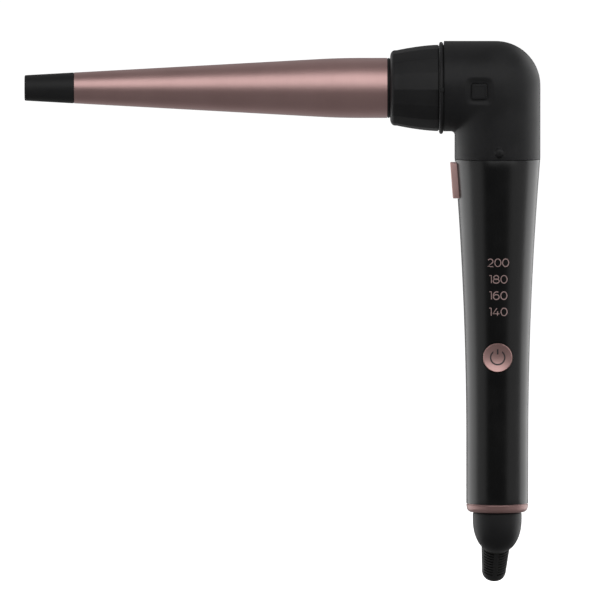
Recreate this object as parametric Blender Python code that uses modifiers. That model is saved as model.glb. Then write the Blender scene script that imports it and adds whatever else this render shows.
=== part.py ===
"""L-shaped rotating curling wand with a plug-in conical barrel.

The handle stands along Z with the origin on its axis at the middle of the grip. The barrel
points along -X and the controls face -Y. Dimensions are in millimetres; meshes are in metres.
"""
import math

import bmesh
import bpy
from mathutils import Matrix, Vector

MM = 0.001
GAP = 0.3                 # air left between neighbouring pieces

# Handle
SEAM_Z = 71.7             # joint between the handle and the elbow
HANDLE_END_Z = -71.7      # lower end of the handle shells
GRIP_RADIUS = 12.9        # slimmest part of the grip
HANDLE_TOP_RADIUS = 17.8
TAPER_START_Z = -45.0
TAPER_POWER = 1.945
WALL = 2.0
HANDLE_STEPS = 32         # facets around the handle

# Elbow
ELBOW_RADIUS = 18.8       # horizontal arm
NECK_RADIUS = 17.85       # vertical arm
ELBOW_TOP_Z = 120.95
MOUTH_X = -22.3           # open end that takes the barrel
INNER_FILLET = 1.5
OUTER_CORNER = 18.55
CORNER_SHARPNESS = 8.0    # how tightly the widest line turns the corner

# Barrel axis and stations along it, measured from the handle axis towards the tip
BARREL_Z = 101.4
TIP_END = 196.6
TIP_SEAM = 176.1
CONE_END = 65.4
TUBE_END = 45.7
BAND_END = 44.8
COLLAR_END = 24.45
FLANGE_END = 22.6
SPIGOT_END = 8.0
TIP_END_RADIUS = 5.33
TUBE_TIP_RADIUS = 6.42
TUBE_RADIUS = 12.5
TUBE_WALL = 1.2
COLLAR_FRONT_RADIUS = 16.0
COLLAR_BACK_RADIUS = 18.0
COLLAR_FACETS = 16
FLANGE_RADIUS = 19.15
SPIGOT_RADIUS = 13.6
SPIGOT_BORE = 11.8
HUB_RADIUS = 8.0

# Drive
CROWN_TEETH = 24
PINION_TEETH = 8
CROWN_PITCH_RADIUS = 9.8
CROWN_FACE = 2.0          # radial width of the crown gear's teeth
PINION_PITCH_RADIUS = CROWN_PITCH_RADIUS * PINION_TEETH / CROWN_TEETH
TOOTH_ADDENDUM = 0.7
TOOTH_DEDENDUM = 0.95
SHAFT_RADIUS = 2.0

# Controls
ROCKER_LOW_Z = 55.6
ROCKER_HIGH_Z = 70.4
ROCKER_WIDTH = 9.0
ROCKER_PROUD = 2.0
ROCKER_PIVOT = (-12.5, 63.1)
POWER_Z = -10.2
POWER_RADIUS = 6.05
POWER_RIM_Y = -12.85
RELEASE_X = -7.7
RELEASE_Z = 100.7
RELEASE_SIZE = 6.2
RELEASE_FACE_Y = -18.1
PIP_Z = 75.3

# Cord outlet
RING_END_Z = -75.2
DOME_RADIUS = 10.2
DOME_BELT_Z = -78.0
DOME_END_Z = -92.5
DOME_POWER = 2.2
RELIEF_START = (0.0, 0.0, -80.0)
RELIEF_TILT = 35.0        # degrees away from straight down, towards the back
RELIEF_SWING = 4.7        # degrees about Z that the outlet is turned at rest
RELIEF_RADIUS = 6.0
RELIEF_TAPER_START = 11.0  # distances along the relief, from where its axis starts
RELIEF_TAPER_END = 24.6
RELIEF_TIP_RADIUS = 5.05
RELIEF_TIP_BEND = 3.4      # length of the rounded tip
WIRE_BORE_RADIUS = 3.1

# Shell screws: (x, z, depth of the head's outer face along Y)
SCREWS = {
    "handle_screw_upper": (0.0, 50.0, 15.2),
    "handle_screw_lower": (0.0, -42.0, 12.0),
    "elbow_screw_upper": (1.0, 111.8, 13.4),
    "elbow_screw_right": (10.6, 80.0, 11.4),
    "elbow_screw_left": (-10.6, 80.0, 11.4),
}

for leftover in list(bpy.data.objects):
    bpy.data.objects.remove(leftover)

PARTS = bpy.data.collections.new("curling_wand")
CUTTERS = bpy.data.collections.new("cutters")
bpy.context.scene.collection.children.link(PARTS)
bpy.context.scene.collection.children.link(CUTTERS)


def colour(hex_code):
    """Linear RGBA from an sRGB hex code."""
    channels = [int(hex_code[i:i + 2], 16) / 255 for i in (0, 2, 4)]
    linear = [c / 12.92 if c <= 0.04045 else ((c + 0.055) / 1.055) ** 2.4 for c in channels]
    return (*linear, 1.0)


def finish(name, hex_code, roughness, metallic=0.0):
    """A Principled material."""
    made = bpy.data.materials.new(name)
    made.use_nodes = True
    shader = made.node_tree.nodes["Principled BSDF"]
    shader.inputs["Base Color"].default_value = colour(hex_code)
    shader.inputs["Roughness"].default_value = roughness
    shader.inputs["Metallic"].default_value = metallic
    made.diffuse_color = colour(hex_code)
    return made


GLOSS_BLACK = finish("gloss_black_abs", "0c0c0d", 0.15)
MATTE_BLACK = finish("matte_black_nylon", "232324", 0.55)
ROSE_GOLD = finish("rose_gold_coating", "c99a95", 0.3, 1.0)
STEEL = finish("steel", "9a9ba0", 0.35, 1.0)
BRASS = finish("brass", "c8a554", 0.35, 1.0)
ALUMINIUM = finish("aluminium", "b9bcc0", 0.4, 1.0)
CARBON = finish("carbon_brush", "2a2a2c", 0.7)
CERAMIC = finish("ceramic", "e4e0d4", 0.5)
BOARD = finish("circuit_board", "1d5a34", 0.5)
ACETAL = finish("white_acetal", "e6e4dc", 0.45)
PPS = finish("brown_black_pps", "3a302a", 0.55)
CLEAR = finish("clear_polycarbonate", "d8dcdf", 0.15)


def linked(name, mesh, group):
    piece = bpy.data.objects.new(name, mesh)
    group.objects.link(piece)
    return piece


def axis_empty(name, at, turn=(0.0, 0.0, 0.0)):
    """An empty on a joint's axis, in degrees and millimetres."""
    empty = linked(name, None, PARTS)
    place(empty, at=at, turn=turn)
    return empty


def place(piece, material=None, parent=None, at=(0.0, 0.0, 0.0), turn=(0.0, 0.0, 0.0)):
    """Put a piece at a place in millimetres, turned in degrees, in its parent's frame."""
    piece.location = Vector(at) * MM
    piece.rotation_euler = [math.radians(angle) for angle in turn]
    piece.parent = parent
    if material:
        piece.data.materials.append(material)
    return piece


def as_cutter(piece):
    piece.hide_render = True
    piece.display_type = "WIRE"
    for group in list(piece.users_collection):
        group.objects.unlink(piece)
    CUTTERS.objects.link(piece)
    return piece


def combine(piece, other, operation="DIFFERENCE"):
    """Cut, join or intersect a piece with a tool shape."""
    as_cutter(other)
    step = piece.modifiers.new(other.name, "BOOLEAN")
    step.operation = operation
    step.solver = "EXACT"
    step.object = other
    return piece


def turned(name, profile, steps=40, hollow=False, start=0.0, sweep=360.0):
    """Spin (height, radius) points about local Z; they run down the outer side."""
    mesh = bpy.data.meshes.new(name)
    turn = math.radians(start)
    points = [(r * math.cos(turn) * MM, r * math.sin(turn) * MM, h * MM) for h, r in profile]
    edges = [(i, i + 1) for i in range(len(points) - 1)]
    if hollow:
        edges.append((len(points) - 1, 0))
    mesh.from_pydata(points, edges, [])
    piece = linked(name, mesh, PARTS)
    spin = piece.modifiers.new("spin", "SCREW")
    spin.angle = math.radians(sweep)
    spin.steps = spin.render_steps = steps
    spin.use_merge_vertices = True
    spin.merge_threshold = 0.00001
    return piece


def ring(name, top, bottom, outer, inner, steps=24):
    profile = [(top, inner), (top, outer), (bottom, outer), (bottom, inner)]
    return turned(name, profile, steps, hollow=True)


def block(name, low, high):
    """A box between two corners."""
    low, high = Vector(low) * MM, Vector(high) * MM
    shape = bmesh.new()
    size = Matrix.Diagonal((*(high - low), 1.0))
    bmesh.ops.create_cube(shape, size=1.0, matrix=Matrix.Translation((low + high) / 2) @ size)
    mesh = bpy.data.meshes.new(name)
    shape.to_mesh(mesh)
    shape.free()
    return linked(name, mesh, PARTS)


def rod(name, start, end, radius, sides=20):
    """A round or many-sided bar between two points."""
    start, end = Vector(start) * MM, Vector(end) * MM
    along = end - start
    stand = Matrix.Translation((start + end) / 2) @ along.to_track_quat("Z", "Y").to_matrix().to_4x4()
    shape = bmesh.new()
    bmesh.ops.create_cone(shape, cap_ends=True, segments=sides, radius1=radius * MM,
                          radius2=radius * MM, depth=along.length, matrix=stand)
    mesh = bpy.data.meshes.new(name)
    shape.to_mesh(mesh)
    shape.free()
    return linked(name, mesh, PARTS)


def flat_piece(name, outlines, thickness):
    """Outlines in local XY, the first one the outside and the rest holes, centred on local Z."""
    curve = bpy.data.curves.new(name, "CURVE")
    curve.dimensions = "2D"
    curve.fill_mode = "BOTH"
    curve.extrude = thickness * MM / 2
    for outline in outlines:
        spline = curve.splines.new("POLY")
        spline.points.add(len(outline) - 1)
        for point, (x, y) in zip(spline.points, outline):
            point.co = (x * MM, y * MM, 0.0, 1.0)
        spline.use_cyclic_u = True
    sketch = linked(name + "_sketch", curve, PARTS)
    graph = bpy.context.evaluated_depsgraph_get()
    mesh = bpy.data.meshes.new_from_object(sketch.evaluated_get(graph))
    bpy.data.objects.remove(sketch)
    shape = bmesh.new()
    shape.from_mesh(mesh)
    bmesh.ops.remove_doubles(shape, verts=shape.verts, dist=0.000001)
    bmesh.ops.recalc_face_normals(shape, faces=shape.faces)
    shape.to_mesh(mesh)
    shape.free()
    return linked(name, mesh, PARTS)


def arc(centre_a, centre_b, reach_a, reach_b, first, last, count):
    """Points on an ellipse between two angles in degrees, as (a, b) pairs."""
    angles = [math.radians(first + (last - first) * i / count) for i in range(count + 1)]
    return [(centre_a + reach_a * math.cos(t), centre_b + reach_b * math.sin(t)) for t in angles]


def circle(centre_a, centre_b, radius, count=24):
    return arc(centre_a, centre_b, radius, radius, 0.0, 360.0, count)[:-1]


def rounded_square(size, radius, count=4):
    """A square outline with round corners."""
    inset = size / 2 - radius
    outline = []
    for corner, (a, b) in enumerate(((1, 1), (-1, 1), (-1, -1), (1, -1))):
        outline += arc(a * inset, b * inset, radius, radius, 90 * corner, 90 * corner + 90, count)
    return outline


def handle_radius(z):
    """Outer radius of the handle at a height: a slim grip that flares towards the elbow."""
    rise = max(0.0, z - TAPER_START_Z) / (SEAM_Z - TAPER_START_Z)
    return GRIP_RADIUS + (HANDLE_TOP_RADIUS - GRIP_RADIUS) * rise ** TAPER_POWER


def along_barrel(name):
    """An empty on the barrel's axis whose local Z points at the tip and local X points up."""
    return axis_empty(name, (0.0, 0.0, BARREL_Z), (0.0, -90.0, 0.0))


def add_screw_posts(shell, side, places):
    """Screw bosses inside a half shell, bored through; side is -1 in front and 1 behind."""
    for name in places:
        x, z, head_y = SCREWS[name]
        floor_y = head_y - 1.6
        reach = 0.1 - head_y if side < 0 else floor_y + 1.0
        width = 2.6 if side < 0 else 3.3
        tag = shell.name + "_" + name
        combine(shell, rod(tag + "_boss", (x, side * 0.6, z), (x, reach, z), width), "UNION")
        deep = -8.0 if side < 0 else 21.0
        combine(shell, rod(tag + "_bore", (x, side * 0.2, z), (x, deep, z), 1.45, 12))
        if side > 0:
            combine(shell, rod(tag + "_recess", (x, floor_y, z), (x, 23.0, z), 2.45))
    return shell


def keep_half(shell, side):
    """Cut a shell on the plane through both arms, leaving half of the seam's gap."""
    low, high = sorted((side * GAP / 2, -side * 60.0))
    return combine(shell, block(shell.name + "_half", (-60.0, low, -100.0), (60.0, high, 150.0)))


def handle_shells():
    """Two half shells of gloss plastic that meet on the plane through both arms."""
    low, high = HANDLE_END_Z + GAP / 2, SEAM_Z - GAP / 2
    heights = [high + (low - high) * i / 9 for i in range(10)]
    profile = [(z, handle_radius(z)) for z in heights]
    profile += [(z, handle_radius(z) - WALL) for z in reversed(heights)]
    shells = []
    for name, side in (("handle_rear_shell", 1), ("handle_front_shell", -1)):
        shell = turned(name, profile, HANDLE_STEPS, hollow=True)
        keep_half(shell, side)
        add_screw_posts(shell, side, ("handle_screw_upper", "handle_screw_lower"))
        slot = block(name + "_rocker_slot", (-21.0, -ROCKER_WIDTH / 2 - GAP, ROCKER_LOW_Z - 0.45),
                     (-13.0, ROCKER_WIDTH / 2 + GAP, ROCKER_HIGH_Z + 0.45))
        combine(shell, slot)
        shells.append(place(shell, GLOSS_BLACK))
    hole = rod("power_button_hole", (0.0, -18.0, POWER_Z), (0.0, -7.0, POWER_Z),
               POWER_RADIUS + GAP, 32)
    combine(shells[1], hole)


def thicken(shell, wall):
    """Give an open outer surface a wall that grows inwards."""
    step = shell.modifiers.new("wall", "SOLIDIFY")
    step.thickness = wall * MM
    step.offset = -1.0
    step.use_even_offset = True


SWING_X = -NECK_RADIUS - INNER_FILLET
SWING_Z = ELBOW_TOP_Z - 2 * ELBOW_RADIUS - INNER_FILLET


def outer_reach(angle):
    """How far the elbow's outline is from the swing centre, along a ray at an angle."""
    across, up = math.cos(angle), math.sin(angle)
    corner = Vector((NECK_RADIUS - OUTER_CORNER - SWING_X, ELBOW_TOP_Z - OUTER_CORNER - SWING_Z))
    wall_x, wall_z = NECK_RADIUS - SWING_X, ELBOW_TOP_Z - SWING_Z
    if across > 0 and wall_x * up / across <= corner.y:
        return wall_x / across
    if up > 0 and wall_z * across / up <= corner.x:
        return wall_z / up
    inward = across * corner.x + up * corner.y
    return inward + math.sqrt(inward ** 2 - corner.length_squared + OUTER_CORNER ** 2)


def elbow_section(angle, shift_x=0.0, shift_z=0.0, count=28):
    """A cross-section of the elbow in the plane that swings to an angle."""
    across, up = math.cos(angle), math.sin(angle)
    neck = (NECK_RADIUS - SWING_X) - NECK_RADIUS
    arm = (ELBOW_TOP_Z - SWING_Z) - ELBOW_RADIUS
    inverse = (max(across, 0.0) / neck) ** CORNER_SHARPNESS + (max(up, 0.0) / arm) ** CORNER_SHARPNESS
    middle = inverse ** (-1 / CORNER_SHARPNESS)
    share = angle / (math.pi / 2)
    blend = share * share * (3 - 2 * share)
    depth = NECK_RADIUS + (ELBOW_RADIUS - NECK_RADIUS) * blend
    outer, inner = outer_reach(angle) - middle, middle - INNER_FILLET
    points = []
    for i in range(count):
        turn = math.tau * i / count
        reach = middle + (outer if math.cos(turn) > 0 else inner) * math.cos(turn)
        points.append(Vector((SWING_X + shift_x + reach * across, depth * math.sin(turn),
                              SWING_Z + shift_z + reach * up)) * MM)
    return points


def elbow_half(name, side):
    """Half of a tube lofted from the barrel mouth round the corner to the handle."""
    quarter = math.pi / 2
    sections = [elbow_section(quarter, shift_x=MOUTH_X - SWING_X)]
    sections += [elbow_section(quarter * (1 - i / 12)) for i in range(13)]
    sections += [elbow_section(0.0, shift_z=SEAM_Z + GAP / 2 - SWING_Z)]
    mesh = bpy.data.meshes.new(name)
    shape = bmesh.new()
    rows = [[shape.verts.new(point) for point in section] for section in sections]
    for row, following in zip(rows, rows[1:]):
        for i in range(len(row)):
            shape.faces.new([row[i - 1], following[i - 1], following[i], row[i]])
    shape.to_mesh(mesh)
    shape.free()
    shell = linked(name, mesh, PARTS)
    thicken(shell, WALL)
    keep_half(shell, side)
    add_screw_posts(shell, side, ("elbow_screw_upper", "elbow_screw_right", "elbow_screw_left"))
    return place(shell, MATTE_BLACK)


def elbow_shells():
    """The corner housing; its front half has the flat pad of the release button and a pip."""
    elbow_half("elbow_rear_shell", 1)
    front = elbow_half("elbow_front_shell", -1)
    pad = flat_piece("release_pad", [rounded_square(10.0, 2.6)], 8.0)
    place(pad, at=(RELEASE_X, RELEASE_FACE_Y - 4.0, RELEASE_Z), turn=(90.0, 0.0, 0.0))
    combine(front, pad)
    hole = flat_piece("release_hole", [rounded_square(RELEASE_SIZE + 2 * GAP, 1.2)], 8.0)
    place(hole, at=(RELEASE_X, RELEASE_FACE_Y, RELEASE_Z), turn=(90.0, 0.0, 0.0))
    combine(front, hole)
    pip = turned("index_pip", [(0.7, 0.0), (0.58, 0.9), (0.2, 1.6), (-1.3, 1.9), (-1.3, 0.0)], 20)
    place(pip, at=(0.5, -NECK_RADIUS, PIP_Z), turn=(90.0, 0.0, 0.0))
    combine(front, pip, "UNION")


def shell_screws():
    """Pan-head screws that draw the rear shells onto the front ones."""
    for name, (x, z, head_y) in SCREWS.items():
        under = head_y - 1.2
        profile = [(0.0, 0.0), (0.0, 1.6), (-0.4, 2.15), (under - head_y, 2.15),
                   (under - head_y, 1.15), (-6.0 - head_y, 1.15), (-7.0 - head_y, 0.0)]
        screw = turned(name, profile, 14)
        cross = block(name + "_slot", (-1.5, -0.25, -0.7), (1.5, 0.25, 1.0))
        turn = (-90.0, 0.0, 0.0)
        place(cross, at=(x, head_y, z), turn=turn)
        combine(screw, cross)
        place(screw, STEEL, at=(x, head_y, z), turn=turn)


def end_ring():
    """Bright ring that closes the handle around the swivelling cord outlet."""
    top = HANDLE_END_Z - GAP / 2
    profile = [(top, 8.5), (top, GRIP_RADIUS - 0.3), (top - 0.35, GRIP_RADIUS)]
    profile += arc(top - 1.0, 11.0, -2.25, 1.75, 90.0, 0.0, 4)
    profile += [(RING_END_Z, 8.5)]
    place(turned("handle_end_ring", profile, 32, hollow=True), ROSE_GOLD)


def cord_outlet():
    """The dome that swivels under the handle, its contact rings and the cord's strain relief."""
    swivel = axis_empty("cord_swivel_axis", (0.0, 0.0, 0.0), (0.0, 0.0, RELIEF_SWING))
    height = DOME_BELT_Z - DOME_END_Z
    rounds = []
    for i in range(9):
        turn = math.radians(11.25 * i)
        drop = math.sin(turn) ** (2 / DOME_POWER) * height
        rounds.append((DOME_BELT_Z - drop, DOME_RADIUS * max(0.0, math.cos(turn)) ** (2 / DOME_POWER)))
    rounds[-1] = (DOME_END_Z, 0.0)
    neck_top, head_low, head_top, belt = -57.0, -66.6, -64.8, RING_END_Z - GAP
    profile = [(neck_top, 0.0), (neck_top, 5.0), (head_top, 5.0), (head_top, 9.4), (head_low, 9.4),
               (head_low, 8.0), (belt, 8.0), (belt, DOME_RADIUS - 0.5), (belt - 0.5, DOME_RADIUS)]
    dome = turned("cord_swivel_dome", profile + rounds, 28)
    tilt = math.radians(RELIEF_TILT)
    axis = Vector((0.0, math.sin(tilt), -math.cos(tilt)))
    start = Vector(RELIEF_START)
    socket = rod("relief_socket", start + axis * 2.8, start + axis * 22.0, RELIEF_RADIUS + GAP, 20)
    place(socket, parent=swivel)
    bore = rod("wire_bore", (0.0, 0.0, -79.0), (0.0, 0.0, -50.0), 3.2, 16)
    place(bore, parent=swivel)
    combine(dome, socket)
    combine(dome, bore)
    place(dome, MATTE_BLACK, swivel)

    root, edge = -3.2, RELIEF_TIP_RADIUS - 1.4
    profile = [(root, 0.0), (root, RELIEF_RADIUS), (-RELIEF_TAPER_START, RELIEF_RADIUS),
               (-RELIEF_TAPER_END, RELIEF_TIP_RADIUS)]
    profile += arc(-RELIEF_TAPER_END, edge, -RELIEF_TIP_BEND, RELIEF_TIP_RADIUS - edge, 60.0, 0.0, 2)
    profile += [(-26.0, WIRE_BORE_RADIUS), (-26.0, 0.0)]
    relief = turned("strain_relief", profile, 20)
    place(relief, MATTE_BLACK, swivel, at=RELIEF_START, turn=(RELIEF_TILT, 0.0, 0.0))

    for name, low in (("swivel_ring_live", -60.6), ("swivel_ring_neutral", -63.8)):
        place(ring(name, low + 2.0, low, 6.8, 5.0 + GAP, 20), BRASS, swivel)


def swivel_fixings():
    """The fixed half of the swivel: a bush that holds the neck and the carrier of its contacts."""
    place(ring("swivel_bush", -66.9, -71.4, 10.4, 8.0 + GAP), ACETAL)
    carrier = block("swivel_contact_carrier", (-3.5, 7.9, -64.4), (3.5, 9.2, -57.5))
    place(carrier, PPS)
    for name, z in (("swivel_contact_live", -59.6), ("swivel_contact_neutral", -62.8)):
        place(block(name, (-2.4, -0.25, -0.6), (2.4, 0.25, 0.6)), BRASS, at=(0.0, 7.35, z))


def control_board():
    """The circuit board with its larger parts."""
    front, back = -5.0, -3.4
    corners = rounded_square(17.0, 1.5)
    outline = [(x, z + (44.0 - 8.5 if z > 0 else -54.0 + 8.5)) for x, z in corners]
    hole = circle(0.0, SCREWS["handle_screw_lower"][1], 3.1)
    board = flat_piece("main_circuit_board", [outline, hole], back - front)
    place(board, BOARD, at=(0.0, (front + back) / 2, 0.0), turn=(90.0, 0.0, 0.0))

    switch = block("power_switch", (-3.0, -8.0, POWER_Z - 3.0), (3.0, front - GAP, POWER_Z + 3.0))
    plunger = rod("power_switch_plunger", (0.0, -8.8, POWER_Z), (0.0, -7.0, POWER_Z), 1.6, 16)
    place(combine(switch, plunger, "UNION"), CARBON)

    base, post = (-8.6, -7.1), -11.3
    steps = [29.4, 22.5, 15.7, 8.9]
    comb = [(base[1], 33.0), (base[0], 33.0)]
    for z in steps:
        comb += [(base[0], z + 1.6), (post, z + 1.3), (post, z - 1.3), (base[0], z - 1.6)]
    comb += [(base[0], 5.4), (base[1], 5.4)]
    guide = flat_piece("temperature_light_guide", [comb], 5.0)
    place(guide, CLEAR, turn=(90.0, 0.0, 90.0))

    rear = back + GAP
    place(block("supply_transformer", (-6.5, rear, 12.0), (6.5, 7.5, 27.0)), CERAMIC)
    capacitor = rod("filter_capacitor", (0.0, 1.2, -36.0), (0.0, 1.2, -26.0), 4.2, 24)
    place(capacitor, ALUMINIUM)


def power_button():
    """Round dished button that slides straight in."""
    rim = 0.55
    dish = [(-1.1 + 1.1 * (r / (POWER_RADIUS - rim)) ** 2, r) for r in (0.0, 2.0, 4.0, 5.5)]
    profile = dish + [(-0.1, POWER_RADIUS - 0.2), (-0.35, POWER_RADIUS), (-2.0, POWER_RADIUS),
                      (-2.0, 1.6), (-2.9, 1.6), (-2.9, 0.0)]
    cap = turned("power_button", profile, 28)
    keeper = block("power_button_keeper", (-2.0, -7.3, -2.75), (2.0, 7.3, -1.8))
    pose = {"at": (0.0, POWER_RIM_Y, POWER_Z), "turn": (90.0, 0.0, 0.0)}
    place(keeper, **pose)
    combine(cap, keeper, "UNION")
    place(cap, ROSE_GOLD, **pose)


def direction_rocker():
    """Two-way bar that rocks on a pin to pick the barrel's turning direction."""
    pivot_x, pivot_z = ROCKER_PIVOT
    low, high = ROCKER_LOW_Z - pivot_z, ROCKER_HIGH_Z - pivot_z
    face_low = -handle_radius(ROCKER_LOW_Z) - ROCKER_PROUD - pivot_x
    face_high = -handle_radius(ROCKER_HIGH_Z) - ROCKER_PROUD - pivot_x
    back, pad = -2.1, 1.5
    outline = [(face_low + 1.0, low), (face_low + 0.3, low + 0.3), (face_low, low + 1.0)]
    outline += [(face_high, high - 1.0), (face_high + 0.3, high - 0.3), (face_high + 1.0, high)]
    outline += [(back, high), (back, 6.4), (pad, 6.4), (pad, 4.0), (back, 4.0), (back, 1.9)]
    outline += arc(0.0, 0.0, 1.9, 1.9, 90.0, -90.0, 8)
    outline += [(back, -1.9), (back, -4.0), (pad, -4.0), (pad, -6.4), (back, -6.4), (back, low)]
    bar = flat_piece("direction_rocker", [outline, circle(0.0, 0.0, 1.05, 16)], ROCKER_WIDTH)
    pivot = axis_empty("rocker_axis", (pivot_x, 0.0, pivot_z), (90.0, 0.0, 0.0))
    place(bar, ROSE_GOLD, pivot)
    pin = rod("rocker_pivot_pin", (0.0, 0.0, -5.6), (0.0, 0.0, 5.6), 0.75, 16)
    place(pin, STEEL, at=(pivot_x, 0.0, pivot_z), turn=(90.0, 0.0, 0.0))
    for name, z in (("rocker_switch_upper", 68.3), ("rocker_switch_lower", 57.9)):
        body = block(name, (-10.4, -3.0, z - 1.8), (-6.4, 3.0, z + 1.8))
        place(body, CARBON)


def release_catch():
    """Square push button and the yoke that it carries round the barrel's spigot."""
    thickness = 1.35
    face = rounded_square(RELEASE_SIZE, 0.9)
    button = flat_piece("release_button", [face], thickness)
    place(button, MATTE_BLACK, at=(RELEASE_X, RELEASE_FACE_Y + thickness / 2, RELEASE_Z),
          turn=(90.0, 0.0, 0.0))
    axis = along_barrel("latch_axis")
    offset = -0.8
    yoke = flat_piece("latch_yoke", [circle(0.0, offset, 15.5, 32), circle(0.0, offset, 14.65, 32)], 1.2)
    place(yoke, STEEL, axis, at=(0.0, 0.0, 9.7))


def barrel_socket():
    """The fixed sleeve that the plug-in barrel slides into, with its two power clips."""
    axis = along_barrel("socket_axis")
    place(ring("socket_sleeve", 21.9, 10.8, 15.7, SPIGOT_RADIUS + GAP, 32), PPS, axis)
    for name, y in (("contact_clip_live", -12.8), ("contact_clip_neutral", 12.8)):
        place(ring(name, 7.0, 3.0, 1.65, 1.15, 16), BRASS, axis, at=(0.0, y, 0.0))


def drive_chassis():
    """Bent-up frame that carries the motor under it and the drive shaft's long bush."""
    base_low, base_high, top = 88.5, 90.0, 107.0
    outline = [(-6.0, base_low), (10.5, base_low), (10.5, top), (9.0, top), (9.0, base_high),
               (6.5, base_high), (6.5, top), (5.0, top), (5.0, base_high), (-6.0, base_high)]
    frame = flat_piece("drive_chassis", [outline], 16.0)
    combine(frame, rod("bush_seats", (2.0, 0.0, BARREL_Z), (14.0, 0.0, BARREL_Z), 3.65, 24))
    combine(frame, rod("pinion_way", (0.0, 0.0, 86.0), (0.0, 0.0, 92.0), 1.8, 16))
    place(frame, STEEL, turn=(90.0, 0.0, 0.0))
    axis = along_barrel("bush_axis")
    place(ring("shaft_bush", -4.5, -11.0, 3.35, SHAFT_RADIUS + GAP, 24), BRASS, axis)


def drive_line():
    """Drive shaft with a six-sided dog, and the crown gear on it."""
    axis = along_barrel("drive_axis")
    shaft = rod("drive_shaft", (0.0, 0.0, -11.6), (0.0, 0.0, 9.4), SHAFT_RADIUS, 20)
    dog = rod("drive_dog", (0.0, 0.0, 8.7), (0.0, 0.0, 13.2), 3.2, 6)
    place(dog, parent=axis)
    place(combine(shaft, dog, "UNION"), STEEL, axis)

    face, tips = PINION_PITCH_RADIUS + 1.0, PINION_PITCH_RADIUS - 0.6
    outer = CROWN_PITCH_RADIUS + CROWN_FACE / 2
    profile = [(6.3, SHAFT_RADIUS + GAP), (6.3, outer), (face, outer), (face, 4.5), (3.2, 4.5),
               (3.2, SHAFT_RADIUS + GAP)]
    gear = turned("crown_gear", profile, 32, hollow=True)
    shape = bmesh.new()
    for i in range(CROWN_TEETH):
        turn = Matrix.Rotation((i + 0.5) * math.tau / CROWN_TEETH, 4, "Z")
        length, height = (CROWN_FACE - 0.2) * MM, (face + 0.5 - tips) * MM
        middle = Vector((CROWN_PITCH_RADIUS * MM, 0.0, (face + 0.5 + tips) * MM / 2))
        size = Matrix.Diagonal((length, 1.1 * MM, height, 1.0))
        made = bmesh.ops.create_cube(shape, size=1.0, matrix=Matrix.Translation(middle) @ size)
        for vert in made["verts"]:
            if vert.co.z < middle.z:
                vert.co.y *= 0.5
        bmesh.ops.transform(shape, matrix=turn, verts=made["verts"])
    mesh = bpy.data.meshes.new("crown_teeth")
    shape.to_mesh(mesh)
    shape.free()
    teeth = linked("crown_teeth", mesh, PARTS)
    place(teeth, parent=axis)
    place(combine(gear, teeth, "UNION"), ACETAL, axis)


def motor_pinion():
    """Pinion on the gearmotor's upright output shaft."""
    tip, root = PINION_PITCH_RADIUS + TOOTH_ADDENDUM, PINION_PITCH_RADIUS - TOOTH_DEDENDUM
    outline = []
    for i in range(PINION_TEETH):
        middle = math.pi + i * math.tau / PINION_TEETH
        for radius, half_width in ((root, -0.55), (tip, -0.3), (tip, 0.3), (root, 0.55)):
            turn = middle + math.asin(half_width / radius)
            outline.append((radius * math.cos(turn), radius * math.sin(turn)))
    axis = axis_empty("pinion_axis", (0.0, 0.0, 91.7))
    pinion = flat_piece("motor_pinion", [outline], 2.7)
    shaft = rod("output_shaft", (0.0, 0.0, -5.4), (0.0, 0.0, 1.9), 1.2, 16)
    place(shaft, parent=axis)
    place(combine(pinion, shaft, "UNION"), ACETAL, axis)


def gearmotor():
    """Flat-sided motor and gearbox standing in the neck."""
    gearbox = block("motor_gearbox", (-5.0, -6.0, 79.2), (5.0, 6.0, 88.2))
    combine(gearbox, rod("output_way", (0.0, 0.0, 85.0), (0.0, 0.0, 90.0), 1.6, 16))
    place(gearbox, BRASS)
    can = rod("drive_motor", (0.0, 0.0, 63.9), (0.0, 0.0, 78.9), 6.0, 32)
    combine(can, block("motor_flats", (-5.0, -8.0, 60.0), (5.0, 8.0, 82.0)), "INTERSECT")
    place(can, STEEL)


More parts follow.
